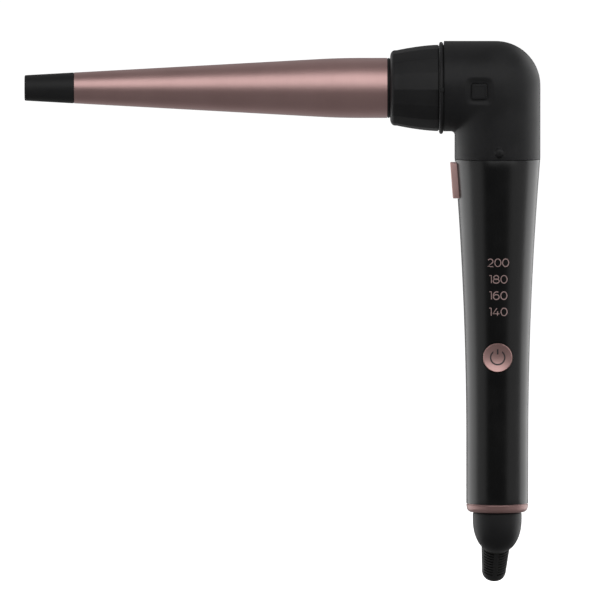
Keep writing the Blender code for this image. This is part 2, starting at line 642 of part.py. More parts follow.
def barrel_collar():
    """Faceted handling collar that stays still while the barrel turns inside it."""
    axis = along_barrel("collar_axis")
    front, back, length = BAND_END - GAP / 2, COLLAR_END + GAP / 2, 16.0
    shoulder = front - 2.2
    profile = [(front, 8.6)] + arc(shoulder, 12.9, 2.2, 2.9, 0.0, 75.0, 5)
    for i in range(6):
        a = shoulder - 0.6 + (back - shoulder + 0.6) * i / 5
        drop = (COLLAR_BACK_RADIUS - COLLAR_FRONT_RADIUS) * (max(0.0, a - back) / length) ** 1.6
        profile.append((a, COLLAR_BACK_RADIUS - drop))
    profile += [(back, 13.2), (42.4, 13.2), (42.4, 8.6)]
    place(turned("barrel_collar", profile, COLLAR_FACETS, hollow=True), MATTE_BLACK, axis)

    rise = FLANGE_RADIUS - 18.2
    middle, half = (COLLAR_END + FLANGE_END - GAP / 2) / 2, (COLLAR_END - FLANGE_END - GAP / 2) / 2
    profile = [(middle + half, SPIGOT_BORE)] + arc(middle, 18.2, half, rise, 0.0, 180.0, 4)
    profile += [(FLANGE_END, SPIGOT_RADIUS), (10.6, SPIGOT_RADIUS), (10.6, 12.9), (8.9, 12.9)]
    profile += [(8.9, SPIGOT_RADIUS), (SPIGOT_END, SPIGOT_RADIUS), (SPIGOT_END, SPIGOT_BORE)]
    flange = turned("collar_flange", profile, 36, hollow=True)
    nub = block("flange_nub", (-0.6, -19.45, middle - half + 0.1), (0.6, -17.5, middle + half - 0.1))
    place(nub, parent=axis)
    combine(flange, nub, "UNION")
    place(flange, MATTE_BLACK, axis)

    place(ring("hub_bearing_front", 42.1, 37.8, 12.6, HUB_RADIUS + GAP), STEEL, axis)
    place(ring("hub_bearing_rear", 20.0, 15.5, 11.4, HUB_RADIUS + GAP), STEEL, axis)
    for name, y in (("contact_pin_live", -12.8), ("contact_pin_neutral", 12.8)):
        pin = rod(name, (0.0, 0.0, 3.6), (0.0, 0.0, SPIGOT_END - GAP), 0.8, 12)
        place(pin, BRASS, axis, at=(0.0, y, 0.0))

    holder = block("brush_holder", (9.9, -3.3, 29.4), (12.0, 3.3, 37.4))
    for name, a in (("brush_live", 35.5), ("brush_neutral", 31.5)):
        pocket = block(name + "_pocket", (8.0, -1.3, a - 1.3), (14.0, 1.3, a + 1.3))
        place(pocket, parent=axis)
        combine(holder, pocket)
        place(block(name, (9.7, -1.0, a - 1.0), (11.9, 1.0, a + 1.0)), CARBON, axis)
    place(holder, PPS, axis)


def barrel_outside():
    """The heated cone, the black band at its root and the cool tip."""
    axis = along_barrel("barrel_axis")
    tip, root = TIP_SEAM - GAP / 2, TUBE_END + GAP / 2
    slope = (TUBE_RADIUS - TUBE_TIP_RADIUS) / (tip - CONE_END)
    profile = [(tip, TUBE_TIP_RADIUS), (CONE_END + 3.0, TUBE_RADIUS - 3.0 * slope),
               (CONE_END - 3.0, TUBE_RADIUS), (root, TUBE_RADIUS),
               (root, TUBE_RADIUS - TUBE_WALL), (CONE_END, TUBE_RADIUS - TUBE_WALL),
               (tip, TUBE_TIP_RADIUS - TUBE_WALL)]
    place(turned("barrel_tube", profile, 40, hollow=True), ROSE_GOLD, axis)

    band = ring("barrel_band", TUBE_END - GAP / 2, BAND_END + GAP / 2, TUBE_RADIUS, 10.9, 32)
    place(band, MATTE_BLACK, axis)

    seam = TIP_SEAM + GAP / 2
    profile = [(TIP_END, 0.0)] + arc(TIP_END - 0.6, TIP_END_RADIUS - 0.6, 0.6, 0.6, 0.0, 90.0, 3)
    profile += [(seam, TUBE_TIP_RADIUS), (seam, 4.6), (168.0, 4.6), (168.0, 0.0)]
    place(turned("cool_tip", profile, 32), MATTE_BLACK, axis)

    hub = [(16.0, 0.0), (16.0, 5.0), (60.0, 5.0), (60.0, 10.9), (46.0, 10.9), (46.0, 10.6),
           (BAND_END + 0.2, 10.6), (BAND_END + 0.2, HUB_RADIUS), (12.0, HUB_RADIUS),
           (12.0, 6.4), (9.0, 6.4), (9.0, 0.0)]
    core = turned("barrel_hub", hub, 24)
    socket = rod("dog_socket", (0.0, 0.0, 5.0), (0.0, 0.0, 13.8), 3.75, 6)
    place(socket, parent=axis)
    place(combine(core, socket), PPS, axis)
    for name, a in (("slip_ring_live", 35.5), ("slip_ring_neutral", 31.5)):
        place(ring(name, a + 1.0, a - 1.0, 9.4, HUB_RADIUS + GAP), BRASS, axis)


def heater():
    """Heating plate clamped between two half-round bars, with its sensor and fuse."""
    axis = bpy.data.objects["barrel_axis"]
    near, far = 70.0, 165.0
    slope = (TUBE_RADIUS - TUBE_TIP_RADIUS) / (TIP_SEAM - CONE_END)
    clear = TUBE_WALL + 0.5
    near_radius = TUBE_RADIUS - clear - slope * (near - CONE_END)
    far_radius = TUBE_RADIUS - clear - slope * (far - CONE_END)
    for name, side in (("heater_half_upper", 1), ("heater_half_lower", -1)):
        bar = turned(name, [(far, 0.0), (far, far_radius), (near, near_radius), (near, 0.0)], 28)
        room = sorted((side * 2.2, side * 14.0))
        keep = block(name + "_keep", (room[0], -14.0, near - 2.0), (room[1], 14.0, far + 2.0))
        place(keep, parent=axis)
        combine(bar, keep, "INTERSECT")
        place(bar, ALUMINIUM, axis)
    place(block("ptc_heater", (-1.8, -4.2, 76.0), (1.8, 4.2, 156.0)), CERAMIC, axis)
    place(rod("thermal_fuse", (2.4, 0.0, 48.0), (2.4, 0.0, 57.0), 1.4, 16), STEEL, axis)
    place(rod("thermistor", (6.0, 0.0, 61.0), (6.0, 0.0, 68.0), 1.1, 14), CERAMIC, axis)


handle_shells()
elbow_shells()
shell_screws()
end_ring()
cord_outlet()
swivel_fixings()
control_board()
power_button()
direction_rocker()
release_catch()
barrel_socket()
drive_chassis()
drive_line()
motor_pinion()
gearmotor()
barrel_collar()
barrel_outside()
heater()
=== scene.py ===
# %% [markdown]
# # An L-shaped rotating curling wand
# The wand has a glossy upright handle, a matt corner housing and a warm metal barrel that plugs into
# the corner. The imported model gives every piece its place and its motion. This script gives the pieces
# their finished shapes and surfaces, and nothing here moves or resizes the mechanism.

# %% Load the mechanism
import math

import bmesh
import bpy
from mathutils import Matrix, Vector


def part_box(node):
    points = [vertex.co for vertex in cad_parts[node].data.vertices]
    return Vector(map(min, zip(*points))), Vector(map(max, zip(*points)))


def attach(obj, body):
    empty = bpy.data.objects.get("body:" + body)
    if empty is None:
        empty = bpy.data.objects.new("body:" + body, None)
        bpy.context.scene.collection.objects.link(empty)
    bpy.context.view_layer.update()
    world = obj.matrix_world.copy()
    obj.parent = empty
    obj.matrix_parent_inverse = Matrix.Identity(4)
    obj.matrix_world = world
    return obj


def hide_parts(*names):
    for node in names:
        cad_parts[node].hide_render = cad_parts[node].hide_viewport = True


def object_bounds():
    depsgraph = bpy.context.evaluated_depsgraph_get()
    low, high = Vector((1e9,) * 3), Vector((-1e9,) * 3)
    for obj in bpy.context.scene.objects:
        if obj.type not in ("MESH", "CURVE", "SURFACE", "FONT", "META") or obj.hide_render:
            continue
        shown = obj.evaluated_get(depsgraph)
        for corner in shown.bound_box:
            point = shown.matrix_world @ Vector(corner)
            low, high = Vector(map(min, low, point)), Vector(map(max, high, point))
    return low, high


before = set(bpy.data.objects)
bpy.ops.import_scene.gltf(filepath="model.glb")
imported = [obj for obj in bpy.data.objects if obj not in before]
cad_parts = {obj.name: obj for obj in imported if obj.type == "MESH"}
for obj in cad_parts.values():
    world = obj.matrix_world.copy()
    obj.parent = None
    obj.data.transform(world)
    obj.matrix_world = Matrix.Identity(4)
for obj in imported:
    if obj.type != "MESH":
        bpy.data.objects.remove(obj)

MM = 0.001
mechanism_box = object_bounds()


def placed(name, data):
    """A new object in the scene."""
    made = bpy.data.objects.new(name, data)
    bpy.context.scene.collection.objects.link(made)
    return made


print("mechanism box in mm:", [[round(v / MM, 1) for v in corner] for corner in mechanism_box])

# %% [markdown]
# ## The camera first
# The wand is seen from the front and from very slightly above, through a long lens, so that upright
# lines stay upright and the far end of the barrel is as large as the near one. A lens of one metre
# does that from almost seven metres away, and the frame is about 250 mm wide at the handle.

# %% Camera
FRAME_WIDTH = 249.6 * MM
LENS_MM = 1000.0
SENSOR_MM = 36.0
CAMERA_RISE = math.radians(3.2)
LOOK_AT = Vector((-82.1, 0.0, 13.1)) * MM


def add_camera():
    """A long-lens camera in front of the wand, tipped down a little."""
    distance = FRAME_WIDTH * LENS_MM / SENSOR_MM
    away = Vector((0.0, -math.cos(CAMERA_RISE), math.sin(CAMERA_RISE)))
    lens = bpy.data.cameras.new("studio_camera")
    lens.lens = LENS_MM
    lens.sensor_width = SENSOR_MM
    lens.clip_start = 0.1
    lens.clip_end = 60.0
    camera = placed("studio_camera", lens)
    camera.location = LOOK_AT + away * distance
    camera.rotation_euler = (-away).to_track_quat("-Z", "Y").to_euler()
    bpy.context.scene.camera = camera
    return distance


print("camera stands", round(add_camera(), 2), "m from the wand")

# %% [markdown]
# ## Floor and sky
# Gloss black shows only what it reflects, so the studio is built from what each side of the wand
# should see. The floor is a sheet of white acrylic lit from below, as studios use for a pure white
# ground; it stands well below the wand and is kept out of the wand's reflections. The sky
# is white to the camera. To the wand it is dim in front and a little brighter behind, below and above,
# which fills the undersides and edges softly.

# %% Floor and sky
FLOOR_Z = mechanism_box[0].z - 70 * MM
SKY_FRONT = 0.04          # strength of the sky that the wand sees, before the fades add to it
SKY_FADES = (             # axis, where on it a fade starts and ends, and the strength that it adds
    ("Y", -0.2, 0.9, 0.22),
    ("Z", -0.15, -0.5, 0.13),
    ("Z", 0.35, 0.9, 0.10),
)


def add_floor():
    """A backlit sheet of white acrylic."""
    bpy.ops.mesh.primitive_plane_add(size=60.0, location=(0.0, 0.0, FLOOR_Z))
    floor = bpy.context.object
    floor.name = "studio_floor"
    sheet = bpy.data.materials.new("backlit_white_acrylic")
    sheet.use_nodes = True
    shader = sheet.node_tree.nodes["Principled BSDF"]
    shader.inputs["Base Color"].default_value = (0.9, 0.9, 0.9, 1.0)
    shader.inputs["Roughness"].default_value = 0.9
    shader.inputs["Emission Color"].default_value = (1.0, 1.0, 1.0, 1.0)
    shader.inputs["Emission Strength"].default_value = 0.9
    floor.data.materials.append(sheet)
    floor.visible_glossy = False
    floor.visible_diffuse = False


def add_sky():
    """White to the camera; to the wand, dim in front and brighter behind, below and above."""
    sky = bpy.data.worlds.new("soft_sky")
    sky.use_nodes = True
    tree = sky.node_tree
    lit = tree.nodes["Background"]
    seen = tree.nodes.new("ShaderNodeBackground")
    seen.inputs["Strength"].default_value = 1.0
    way = tree.nodes.new("ShaderNodeSeparateXYZ")
    tree.links.new(tree.nodes.new("ShaderNodeTexCoord").outputs["Generated"], way.inputs["Vector"])
    total = None
    for axis, start, end, strength in SKY_FADES:
        fade = tree.nodes.new("ShaderNodeMapRange")
        fade.interpolation_type = "SMOOTHSTEP"
        for key, value in (("From Min", start), ("From Max", end), ("To Min", 0.0), ("To Max", strength)):
            fade.inputs[key].default_value = value
        tree.links.new(way.outputs[axis], fade.inputs["Value"])
        join = tree.nodes.new("ShaderNodeMath")
        join.operation = "ADD"
        join.inputs[1].default_value = SKY_FRONT
        tree.links.new(fade.outputs["Result"], join.inputs[0])
        if total:
            tree.links.new(total, join.inputs[1])
        total = join.outputs["Value"]
    tree.links.new(total, lit.inputs["Strength"])
    lit.inputs["Color"].default_value = seen.inputs["Color"].default_value = (1.0, 1.0, 1.0, 1.0)
    choose = tree.nodes.new("ShaderNodeMixShader")
    tree.links.new(tree.nodes.new("ShaderNodeLightPath").outputs["Is Camera Ray"], choose.inputs["Fac"])
    tree.links.new(lit.outputs["Background"], choose.inputs[1])
    tree.links.new(seen.outputs["Background"], choose.inputs[2])
    tree.links.new(choose.outputs["Shader"], tree.nodes["World Output"].inputs["Surface"])
    bpy.context.scene.world = sky


bpy.context.scene.view_settings.view_transform = "Standard"
add_floor()
add_sky()
print("floor at", round(FLOOR_Z / MM, 1), "mm")

# %% [markdown]
# ## Soft boxes
# Each is a lamp behind a white cloth. Tall ones at both sides, a little behind, put a pale rim on each
# edge of the handle and leave its middle black, and dimmer ones beside them let the rims fade out
# inwards. A wide one above the camera draws the bright line along the barrel.

# %% Soft boxes
def soft_box(name, turn, rise, distance, width, height, brightness, aim=(0.0, 0.0, 0.02)):
    """A soft box placed by its turn from the camera's side (positive to the right) and its rise.

    The brightness is that of its face, where 1 looks white, whatever its size.
    """
    turn, rise = math.radians(turn), math.radians(rise)
    way = Vector((math.sin(turn) * math.cos(rise), -math.cos(turn) * math.cos(rise), math.sin(rise)))
    lamp = bpy.data.lights.new(name, "AREA")
    lamp.shape = "RECTANGLE"
    lamp.size, lamp.size_y = width, height
    lamp.energy = brightness * math.pi * width * height
    light = placed(name, lamp)
    light.location = Vector(aim) + way * distance
    light.rotation_euler = (-way).to_track_quat("-Z", "Y").to_euler()
    return light


# turn, rise, distance, width, height and brightness
soft_box("key_box", 12.0, 35.0, 1.6, 2.5, 1.45, 1.3, aim=(-0.06, 0.0, 0.08))
soft_box("left_box", -116.0, 0.0, 1.5, 1.8, 1.5, 1.7)
soft_box("left_fade", -64.0, 0.0, 1.6, 1.3, 1.5, 0.5)
soft_box("right_box", 123.0, 8.0, 1.5, 1.8, 1.8, 1.85)
soft_box("right_fade", 62.0, 0.0, 1.6, 1.6, 1.5, 0.42)
print("five soft boxes")

# %% [markdown]
# ## Helpers for modelling
# Moulded pieces have softened edges, and holes and bosses that other shapes cut or add. A few small
# steps are enough for that: select one piece, bevel and shade it, or use up a tool shape in a Boolean.
# Every shape is placed with its mesh, so that all pieces share one origin.

# %% Modelling helpers
def only(piece):
    """Make one piece the only selected one, in object mode."""
    if bpy.context.object and bpy.context.object.mode != "OBJECT":
        bpy.ops.object.mode_set(mode="OBJECT")
    bpy.ops.object.select_all(action="DESELECT")
    piece.select_set(True)
    bpy.context.view_layer.objects.active = piece
    return piece


def settle(piece):
    """Write a piece's place into its mesh, so that the object sits at the origin."""
    only(piece)
    bpy.ops.object.transform_apply(location=True, rotation=True, scale=True)
    return piece


def worked(piece, kind, **settings):
    """Add a modifier, set it and apply it."""
    only(piece)
    step = piece.modifiers.new(kind.title(), kind)
    for key, value in settings.items():
        setattr(step, key, value)
    bpy.ops.object.modifier_apply(modifier=step.name)
    return piece


def smooth(piece, degrees=30.0):
    """Shade a piece smooth, except at edges sharper than an angle."""
    only(piece)
    bpy.ops.object.shade_smooth_by_angle(angle=math.radians(degrees))
    return piece


def soften(piece, width, segments=2, degrees=30.0):
    """Round the sharp edges of a piece, width in millimetres, and shade it."""
    worked(piece, "BEVEL", width=width * MM, segments=segments, limit_method="ANGLE",
           angle_limit=math.radians(degrees), use_clamp_overlap=True)
    return smooth(piece)


def cut(piece, tool, operation="DIFFERENCE"):
    """Use up a tool shape in a Boolean."""
    worked(piece, "BOOLEAN", object=tool, operation=operation, solver="EXACT")
    bpy.data.objects.remove(tool)
    return piece


def pick_faces(piece, chosen):
    """Open a piece in edit mode with the faces selected that a test chooses."""
    only(piece)
    bpy.ops.object.mode_set(mode="EDIT")
    bpy.ops.mesh.select_mode(type="FACE")
    bpy.ops.mesh.select_all(action="DESELECT")
    shape = bmesh.from_edit_mesh(piece.data)
    for face in shape.faces:
        face.select_set(chosen(face))
    bmesh.update_edit_mesh(piece.data)


def from_shape(name, shape):
    """An object made from a bmesh, which is used up."""
    mesh = bpy.data.meshes.new(name)
    shape.to_mesh(mesh)
    shape.free()
    return placed(name, mesh)


print("helpers ready")

# %% [markdown]
# ## Turned pieces
# Most pieces of the wand were turned or moulded round an axis. Each is made the way a lathe works: a
# circle primitive supplies as many points as the outline needs, the points are moved onto the outline,
# and the spin operator sweeps it round. Closed outlines give rings and tubes, and an outline that
# starts and ends on the axis gives a solid.

# %% Turned pieces
UP, BARREL, FRONT = "up", "barrel", "front"
BARREL_Z = 101.4          # height of the barrel's axis, in millimetres
WELD = 0.002              # points closer than this, in millimetres, become one


def spun(name, outline, axis=UP, centre=(0.0, 0.0), sides=96):
    """A turned piece from (along, radius) points in millimetres.

    The axis is the handle's, the barrel's (along grows towards the tip) or one that points to
    the front; centre gives the two other places of the axis, in millimetres.
    """
    bpy.ops.mesh.primitive_circle_add(vertices=len(outline), radius=1.0, fill_type="NOTHING")
    piece = bpy.context.object
    piece.name = piece.data.name = name
    places = {
        UP: lambda a, r: (centre[0] + r, centre[1], a),
        BARREL: lambda a, r: (-a, 0.0, BARREL_Z + r),
        FRONT: lambda a, r: (centre[0], -a, centre[1] + r),
    }
    for vertex, (along, radius) in zip(piece.data.vertices, outline):
        vertex.co = Vector(places[axis](along, radius)) * MM
    only(piece)
    bpy.ops.object.mode_set(mode="EDIT")
    bpy.ops.mesh.select_all(action="SELECT")
    middle = Vector(places[axis](0.0, 0.0)) * MM
    line = {UP: (0.0, 0.0, 1.0), BARREL: (1.0, 0.0, 0.0), FRONT: (0.0, 1.0, 0.0)}[axis]
    bpy.ops.mesh.spin(steps=sides, angle=math.tau, center=middle, axis=line)
    bpy.ops.mesh.select_all(action="SELECT")
    bpy.ops.mesh.remove_doubles(threshold=WELD * MM)
    bpy.ops.mesh.select_all(action="DESELECT")
    bpy.ops.mesh.select_mode(type="EDGE")
    bpy.ops.mesh.select_non_manifold(extend=False, use_wire=True, use_boundary=False,
                                     use_multi_face=False, use_non_contiguous=False, use_verts=False)
    bpy.ops.mesh.delete(type="EDGE")
    bpy.ops.mesh.select_all(action="SELECT")
    bpy.ops.mesh.normals_make_consistent(inside=False)
    bpy.ops.object.mode_set(mode="OBJECT")
    return piece


def bow(centre, reach, first, last, count):
    """Points of an elliptical bow as (along, radius) pairs, angles in degrees."""
    turns = [math.radians(first + (last - first) * i / count) for i in range(count + 1)]
    return [(centre[0] + reach[0] * math.cos(t), centre[1] + reach[1] * math.sin(t)) for t in turns]


print("axes:", UP, BARREL, FRONT)

# %% [markdown]
# ## Slabs, bars and halves
# The square pieces and the tools that cut slots and holes start as a cube or a cylinder. A shell that
# is moulded in two halves is made whole and cut on the plane of its seam, so that the halves agree.

# %% Slabs, bars and halves
def slab(name, size, place, corner=0.0):
    """A box in millimetres whose edges along Y are rounded."""
    bpy.ops.mesh.primitive_cube_add(size=1.0, location=Vector(place) * MM)
    piece = bpy.context.object
    piece.name = piece.data.name = name
    piece.scale = Vector(size) * MM
    settle(piece)
    if corner:
        bpy.ops.object.mode_set(mode="EDIT")
        shape = bmesh.from_edit_mesh(piece.data)
        for edge in shape.edges:
            ends = edge.verts[0].co - edge.verts[1].co
            edge.select_set(abs(ends.y) > max(abs(ends.x), abs(ends.z)))
        bmesh.update_edit_mesh(piece.data)
        bpy.ops.mesh.bevel(offset=corner * MM, segments=6, affect="EDGES")
        bpy.ops.object.mode_set(mode="OBJECT")
    return piece


def bar_tool(name, start, end, radius, sides=64):
    """A round bar between two points, used as a cutting or joining tool."""
    start, end = Vector(start) * MM, Vector(end) * MM
    bpy.ops.mesh.primitive_cylinder_add(vertices=sides, radius=radius * MM,
                                        depth=(end - start).length, location=(start + end) / 2)
    bar = bpy.context.object
    bar.name = name
    bar.rotation_euler = (end - start).to_track_quat("Z", "Y").to_euler()
    return settle(bar)


def halved(piece, side, gap=0.01):
    """Keep the part of a piece in front of (-1) or behind (1) the plane of the L, less a small gap."""
    only(piece)
    bpy.ops.object.mode_set(mode="EDIT")
    bpy.ops.mesh.select_all(action="SELECT")
    bpy.ops.mesh.bisect(plane_co=(0.0, side * gap * MM, 0.0), plane_no=(0.0, side, 0.0),
                        use_fill=True, clear_inner=True)
    bpy.ops.object.mode_set(mode="OBJECT")
    return piece


print("each half stops 0.01 mm short of the seam")

# %% [markdown]
# ## Helpers for finishes
# Every finish is a Principled surface with a few pattern nodes on Object coordinates, which stay with
# the piece when it moves. Object coordinates are in metres here, so a noise scale of 1000 means about
# one patch to the millimetre. Colours are written as they look on a screen and turned to linear light.

# %% Finish helpers
def colour(hex_code):
    """Linear RGBA from an sRGB hex code."""
    channels = [int(hex_code[i:i + 2], 16) / 255 for i in (0, 2, 4)]
    linear = [c / 12.92 if c <= 0.04045 else ((c + 0.055) / 1.055) ** 2.4 for c in channels]
    return (*linear, 1.0)


def per_mm(size):
    """Pattern scale for patches of a size in millimetres."""
    return 1.0 / (size * MM)


def add(tree, kind, inputs=None, **settings):
    """Add a node, set it up, and fill or link its inputs."""
    made = tree.nodes.new("ShaderNode" + kind)
    for key, value in settings.items():
        setattr(made, key, value)
    for key, value in (inputs or {}).items():
        if isinstance(value, bpy.types.NodeSocket):
            tree.links.new(value, made.inputs[key])
        else:
            made.inputs[key].default_value = value
    return made


def surface(name, **constants):
    """A new material with its Principled node's constants set; returns material, tree, shader."""
    made = bpy.data.materials.new(name)
    made.use_nodes = True
    shader = made.node_tree.nodes["Principled BSDF"]
    for key, value in constants.items():
        shader.inputs[key.replace("_", " ")].default_value = value
    return made, made.node_tree, shader


def noise(tree, place, size_mm, detail):
    """The value of a noise pattern with patches of a size in millimetres."""
    return add(tree, "TexNoise", {"Vector": place, "Scale": per_mm(size_mm),
                                  "Detail": detail}).outputs["Fac"]


def toned(tree, shader, pattern, dark, light):
    """Two near tones, chosen by a pattern."""
    tone = add(tree, "ValToRGB", {"Fac": pattern})
    for element, position, code in zip(tone.color_ramp.elements, (0.35, 0.65), (dark, light)):
        element.position, element.color = position, colour(code)
    tree.links.new(tone.outputs["Color"], shader.inputs["Base Color"])


def uneven(tree, shader, pattern, rough):
    """A roughness that a pattern moves between two values."""
    gloss = add(tree, "MapRange", {"Value": pattern, "From Min": 0.3, "From Max": 0.7,
                                   "To Min": rough[0], "To Max": rough[1]})
    tree.links.new(gloss.outputs["Result"], shader.inputs["Roughness"])


def raised(tree, shader, pattern, depth_mm):
    """A fine relief of a depth in millimetres."""
    relief = add(tree, "Bump", {"Height": pattern, "Strength": 1.0, "Distance": depth_mm * MM})
    tree.links.new(relief.outputs["Normal"], shader.inputs["Normal"])


def grained(name, dark, light, rough, grain_mm, depth_mm, blotch_mm=9.0, **constants):
    """A moulded or cast surface: two near tones in soft blotches, uneven gloss and a fine grain."""
    made, tree, shader = surface(name, **constants)
    place = add(tree, "TexCoord").outputs["Object"]
    blotch = noise(tree, place, blotch_mm, 3.0)
    toned(tree, shader, blotch, dark, light)
    uneven(tree, shader, blotch, rough)
    raised(tree, shader, noise(tree, place, grain_mm, 2.0), depth_mm)
    return made


def brushed(name, dark, light, rough, line_mm, depth_mm, along="X", **constants):
    """A turned or drawn metal: fine lines round the axis, near tones and slightly uneven gloss."""
    made, tree, shader = surface(name, Metallic=1.0, **constants)
    place = add(tree, "TexCoord").outputs["Object"]
    stretch = {"X": (1.0, 0.02, 0.02), "Z": (0.02, 0.02, 1.0)}[along]
    lines_at = add(tree, "Mapping", {"Vector": place, "Scale": stretch})
    lines = noise(tree, lines_at.outputs["Vector"], line_mm, 2.0)
    toned(tree, shader, noise(tree, place, 14.0, 3.0), dark, light)
    uneven(tree, shader, lines, rough)
    raised(tree, shader, lines, depth_mm)
    return made


print("one millimetre patches need scale", per_mm(1.0))

# %% [markdown]
# ## Plastics
# The handle is ABS moulded in a mirror-polished tool, which is why it shows soft reflections at its
# edges. The corner housing is nylon from a spark-eroded tool, which leaves a fine even grain with no
# mirror in it, and the collar is a heat-proof plastic with a like face. Real spark grain is near
# 0.1 mm; it is drawn at 0.45 mm so that it can be seen at all. The strain relief is a duller rubber.

# %% Plastics and rubber
PIANO_ABS = grained("polished_abs_black", "080809", "0b0b0c", (0.28, 0.32), 2.4, 0.004, IOR=1.54)
SPARK_NYLON = grained("spark_grained_nylon_black", "262627", "2b2b2c", (0.44, 0.50), 0.45, 0.02,
                      IOR=1.53, Specular_IOR_Level=0.18)
COLLAR_PPS = grained("satin_pps_black", "232324", "272728", (0.46, 0.54), 0.5, 0.02, IOR=1.6,
                     Specular_IOR_Level=0.2)
RELIEF_RUBBER = grained("moulded_tpe_rubber_black", "1c1c1c", "222222", (0.6, 0.7), 0.6, 0.03, IOR=1.5)
MARK_INK = grained("pad_printed_grey_ink", "443c3d", "504748", (0.5, 0.6), 0.4, 0.01, IOR=1.5)
ROSE_INK = grained("pad_printed_rose_ink", "b79a97", "c4a6a3", (0.45, 0.55), 0.4, 0.008, IOR=1.5)
ACETAL = grained("moulded_acetal_white", "dedbd2", "eae7df", (0.35, 0.45), 0.6, 0.01, IOR=1.48)
HEAT_PPS = grained("glass_filled_pps_brown", "352b25", "43372f", (0.5, 0.62), 0.5, 0.02, IOR=1.6)
COMPONENT_BLACK = grained("moulded_epoxy_black", "202022", "2b2b2d", (0.5, 0.6), 0.4, 0.01, IOR=1.55)
CERAMIC = grained("sintered_ceramic_white", "d8d3c6", "e8e3d7", (0.5, 0.65), 0.5, 0.02, IOR=1.7)
CLEAR_PC = grained("clear_polycarbonate", "d9dee2", "eef1f3", (0.08, 0.14), 3.0, 0.003, IOR=1.586,
                   Transmission_Weight=0.7)
print("plastics:", PIANO_ABS.name, SPARK_NYLON.name, COLLAR_PPS.name)

# %% [markdown]
# ## Metals
# The barrel is turned aluminium under a thin heat-proof rose coating with a clear top layer: satin,
# with very fine lines round it from the lathe. The power button is moulded plastic under a vacuum
# metal layer and a tinted lacquer. The trigger and the end ring are moulded plastic under a pearl
# lacquer, which shines less like metal and has no lines.

# %% Metals
ROSE_BARREL = brushed("rose_ceramic_coated_aluminium", "d0a8a5", "d6aeab", (0.43, 0.48), 0.4, 0.0015,
                      Coat_Weight=1.0, Coat_Roughness=0.4)
ROSE_TRIM = grained("rose_vacuum_metallised_trim", "cfa7a3", "d6aeaa", (0.42, 0.47), 1.5, 0.002,
                    Metallic=0.9)
ROSE_TRIGGER = grained("rose_pearl_lacquered_trigger", "dcb2ae", "e2b9b5", (0.45, 0.5), 1.5, 0.002,
                       Metallic=0.25, IOR=1.5)
ROSE_RING = grained("rose_pearl_lacquered_ring", "a07d7a", "a98683", (0.36, 0.42), 1.5, 0.002,
                    Metallic=0.35, IOR=1.5)
STEEL = brushed("zinc_plated_steel", "8f9298", "a4a7ac", (0.28, 0.4), 0.3, 0.003, along="Z")
BRASS = brushed("stamped_brass", "b08f45", "c9a85a", (0.25, 0.38), 0.3, 0.003, along="X")
ALUMINIUM = brushed("extruded_aluminium", "a9acb1", "bfc2c6", (0.3, 0.42), 0.3, 0.003, along="X")
print("metals:", ROSE_BARREL.name, ROSE_TRIM.name)

# %% [markdown]
# ## Circuit board
# A board is glass cloth under green solder mask. The weave prints through as a faint check near half a
# millimetre, and copper tracks run under the mask as slightly lighter stripes.

# %% Circuit board
def solder_mask():
    """Green mask over tracks and a weave."""
    made, tree, shader = surface("solder_mask_green", Roughness=0.35, IOR=1.55)
    place = add(tree, "TexCoord").outputs["Object"]
    upright = add(tree, "Mapping", {"Vector": place, "Rotation": (math.radians(90.0), 0.0, 0.0)})
    tracks = add(tree, "TexBrick", {"Vector": upright.outputs["Vector"], "Scale": per_mm(4.0),
                                    "Color1": colour("1a5a33"), "Color2": colour("1e6339"),
                                    "Mortar": colour("2f7d4b"), "Mortar Size": 0.03})
    tree.links.new(tracks.outputs["Color"], shader.inputs["Base Color"])
    weave = add(tree, "TexChecker", {"Vector": upright.outputs["Vector"], "Scale": per_mm(0.5)})
    relief = add(tree, "Bump", {"Height": weave.outputs["Fac"], "Distance": 0.005 * MM})
    tree.links.new(relief.outputs["Normal"], shader.inputs["Normal"])
    return made


BOARD = solder_mask()
print("board:", BOARD.name)

# %% [markdown]
# ## Fitting a piece
# A finished piece gets its material and the body that carries it, and the imported parts that it stands
# in for are hidden.

# %% Fitting
def fitted(piece, body, slot, material, *nodes):
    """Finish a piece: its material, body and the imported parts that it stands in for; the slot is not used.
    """
    piece.data.materials.clear()
    piece.data.materials.append(material)
    settle(piece)
    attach(piece, body)
    if nodes:
        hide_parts(*nodes)
    print(piece.name, "-", len(piece.data.polygons), "faces on", body)
    return piece


def size_of(node):
    """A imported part's corners in millimetres."""
    low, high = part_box(node)
    return low / MM, high / MM


# %% [markdown]
# ## Handle measures
# The grip is a round tube that is slim at the bottom and flares towards the corner on a smooth curve,
# which one power of the height gives. The trigger and the figures need the same curve, so it is a
# function. The rear screws of the handle and the housing sit in posts, made by one function.

# %% Handle measures
GRIP_RADIUS, HANDLE_TOP_RADIUS = 12.9, 17.8
TAPER_START_Z, TAPER_END_Z, TAPER_POWER = -45.0, 71.7, 1.945
WALL = 2.0
RIM_REACH = 0.2           # how far the upper rim reaches up, so that the seam stays a hairline
POWER_Z, POWER_HOLE_RADIUS = -10.2, 6.35
SLOT_GAP = 0.45           # room above and below the trigger in its slot
POST_RADIUS, RECESS_RADIUS = 3.3, 2.45
SCREW_PLACES = {          # across, height, and how far back the head's face is
    "handle_screw_upper": (0.0, 50.0, 15.2), "handle_screw_lower": (0.0, -42.0, 12.0),
    "elbow_screw_upper": (1.0, 111.8, 13.4), "elbow_screw_right": (10.6, 80.0, 11.4),
    "elbow_screw_left": (-10.6, 80.0, 11.4),
}


def handle_radius(z):
    """Outer radius of the handle at a height."""
    rise = max(0.0, z - TAPER_START_Z) / (TAPER_END_Z - TAPER_START_Z)
    return GRIP_RADIUS + (HANDLE_TOP_RADIUS - GRIP_RADIUS) * rise ** TAPER_POWER


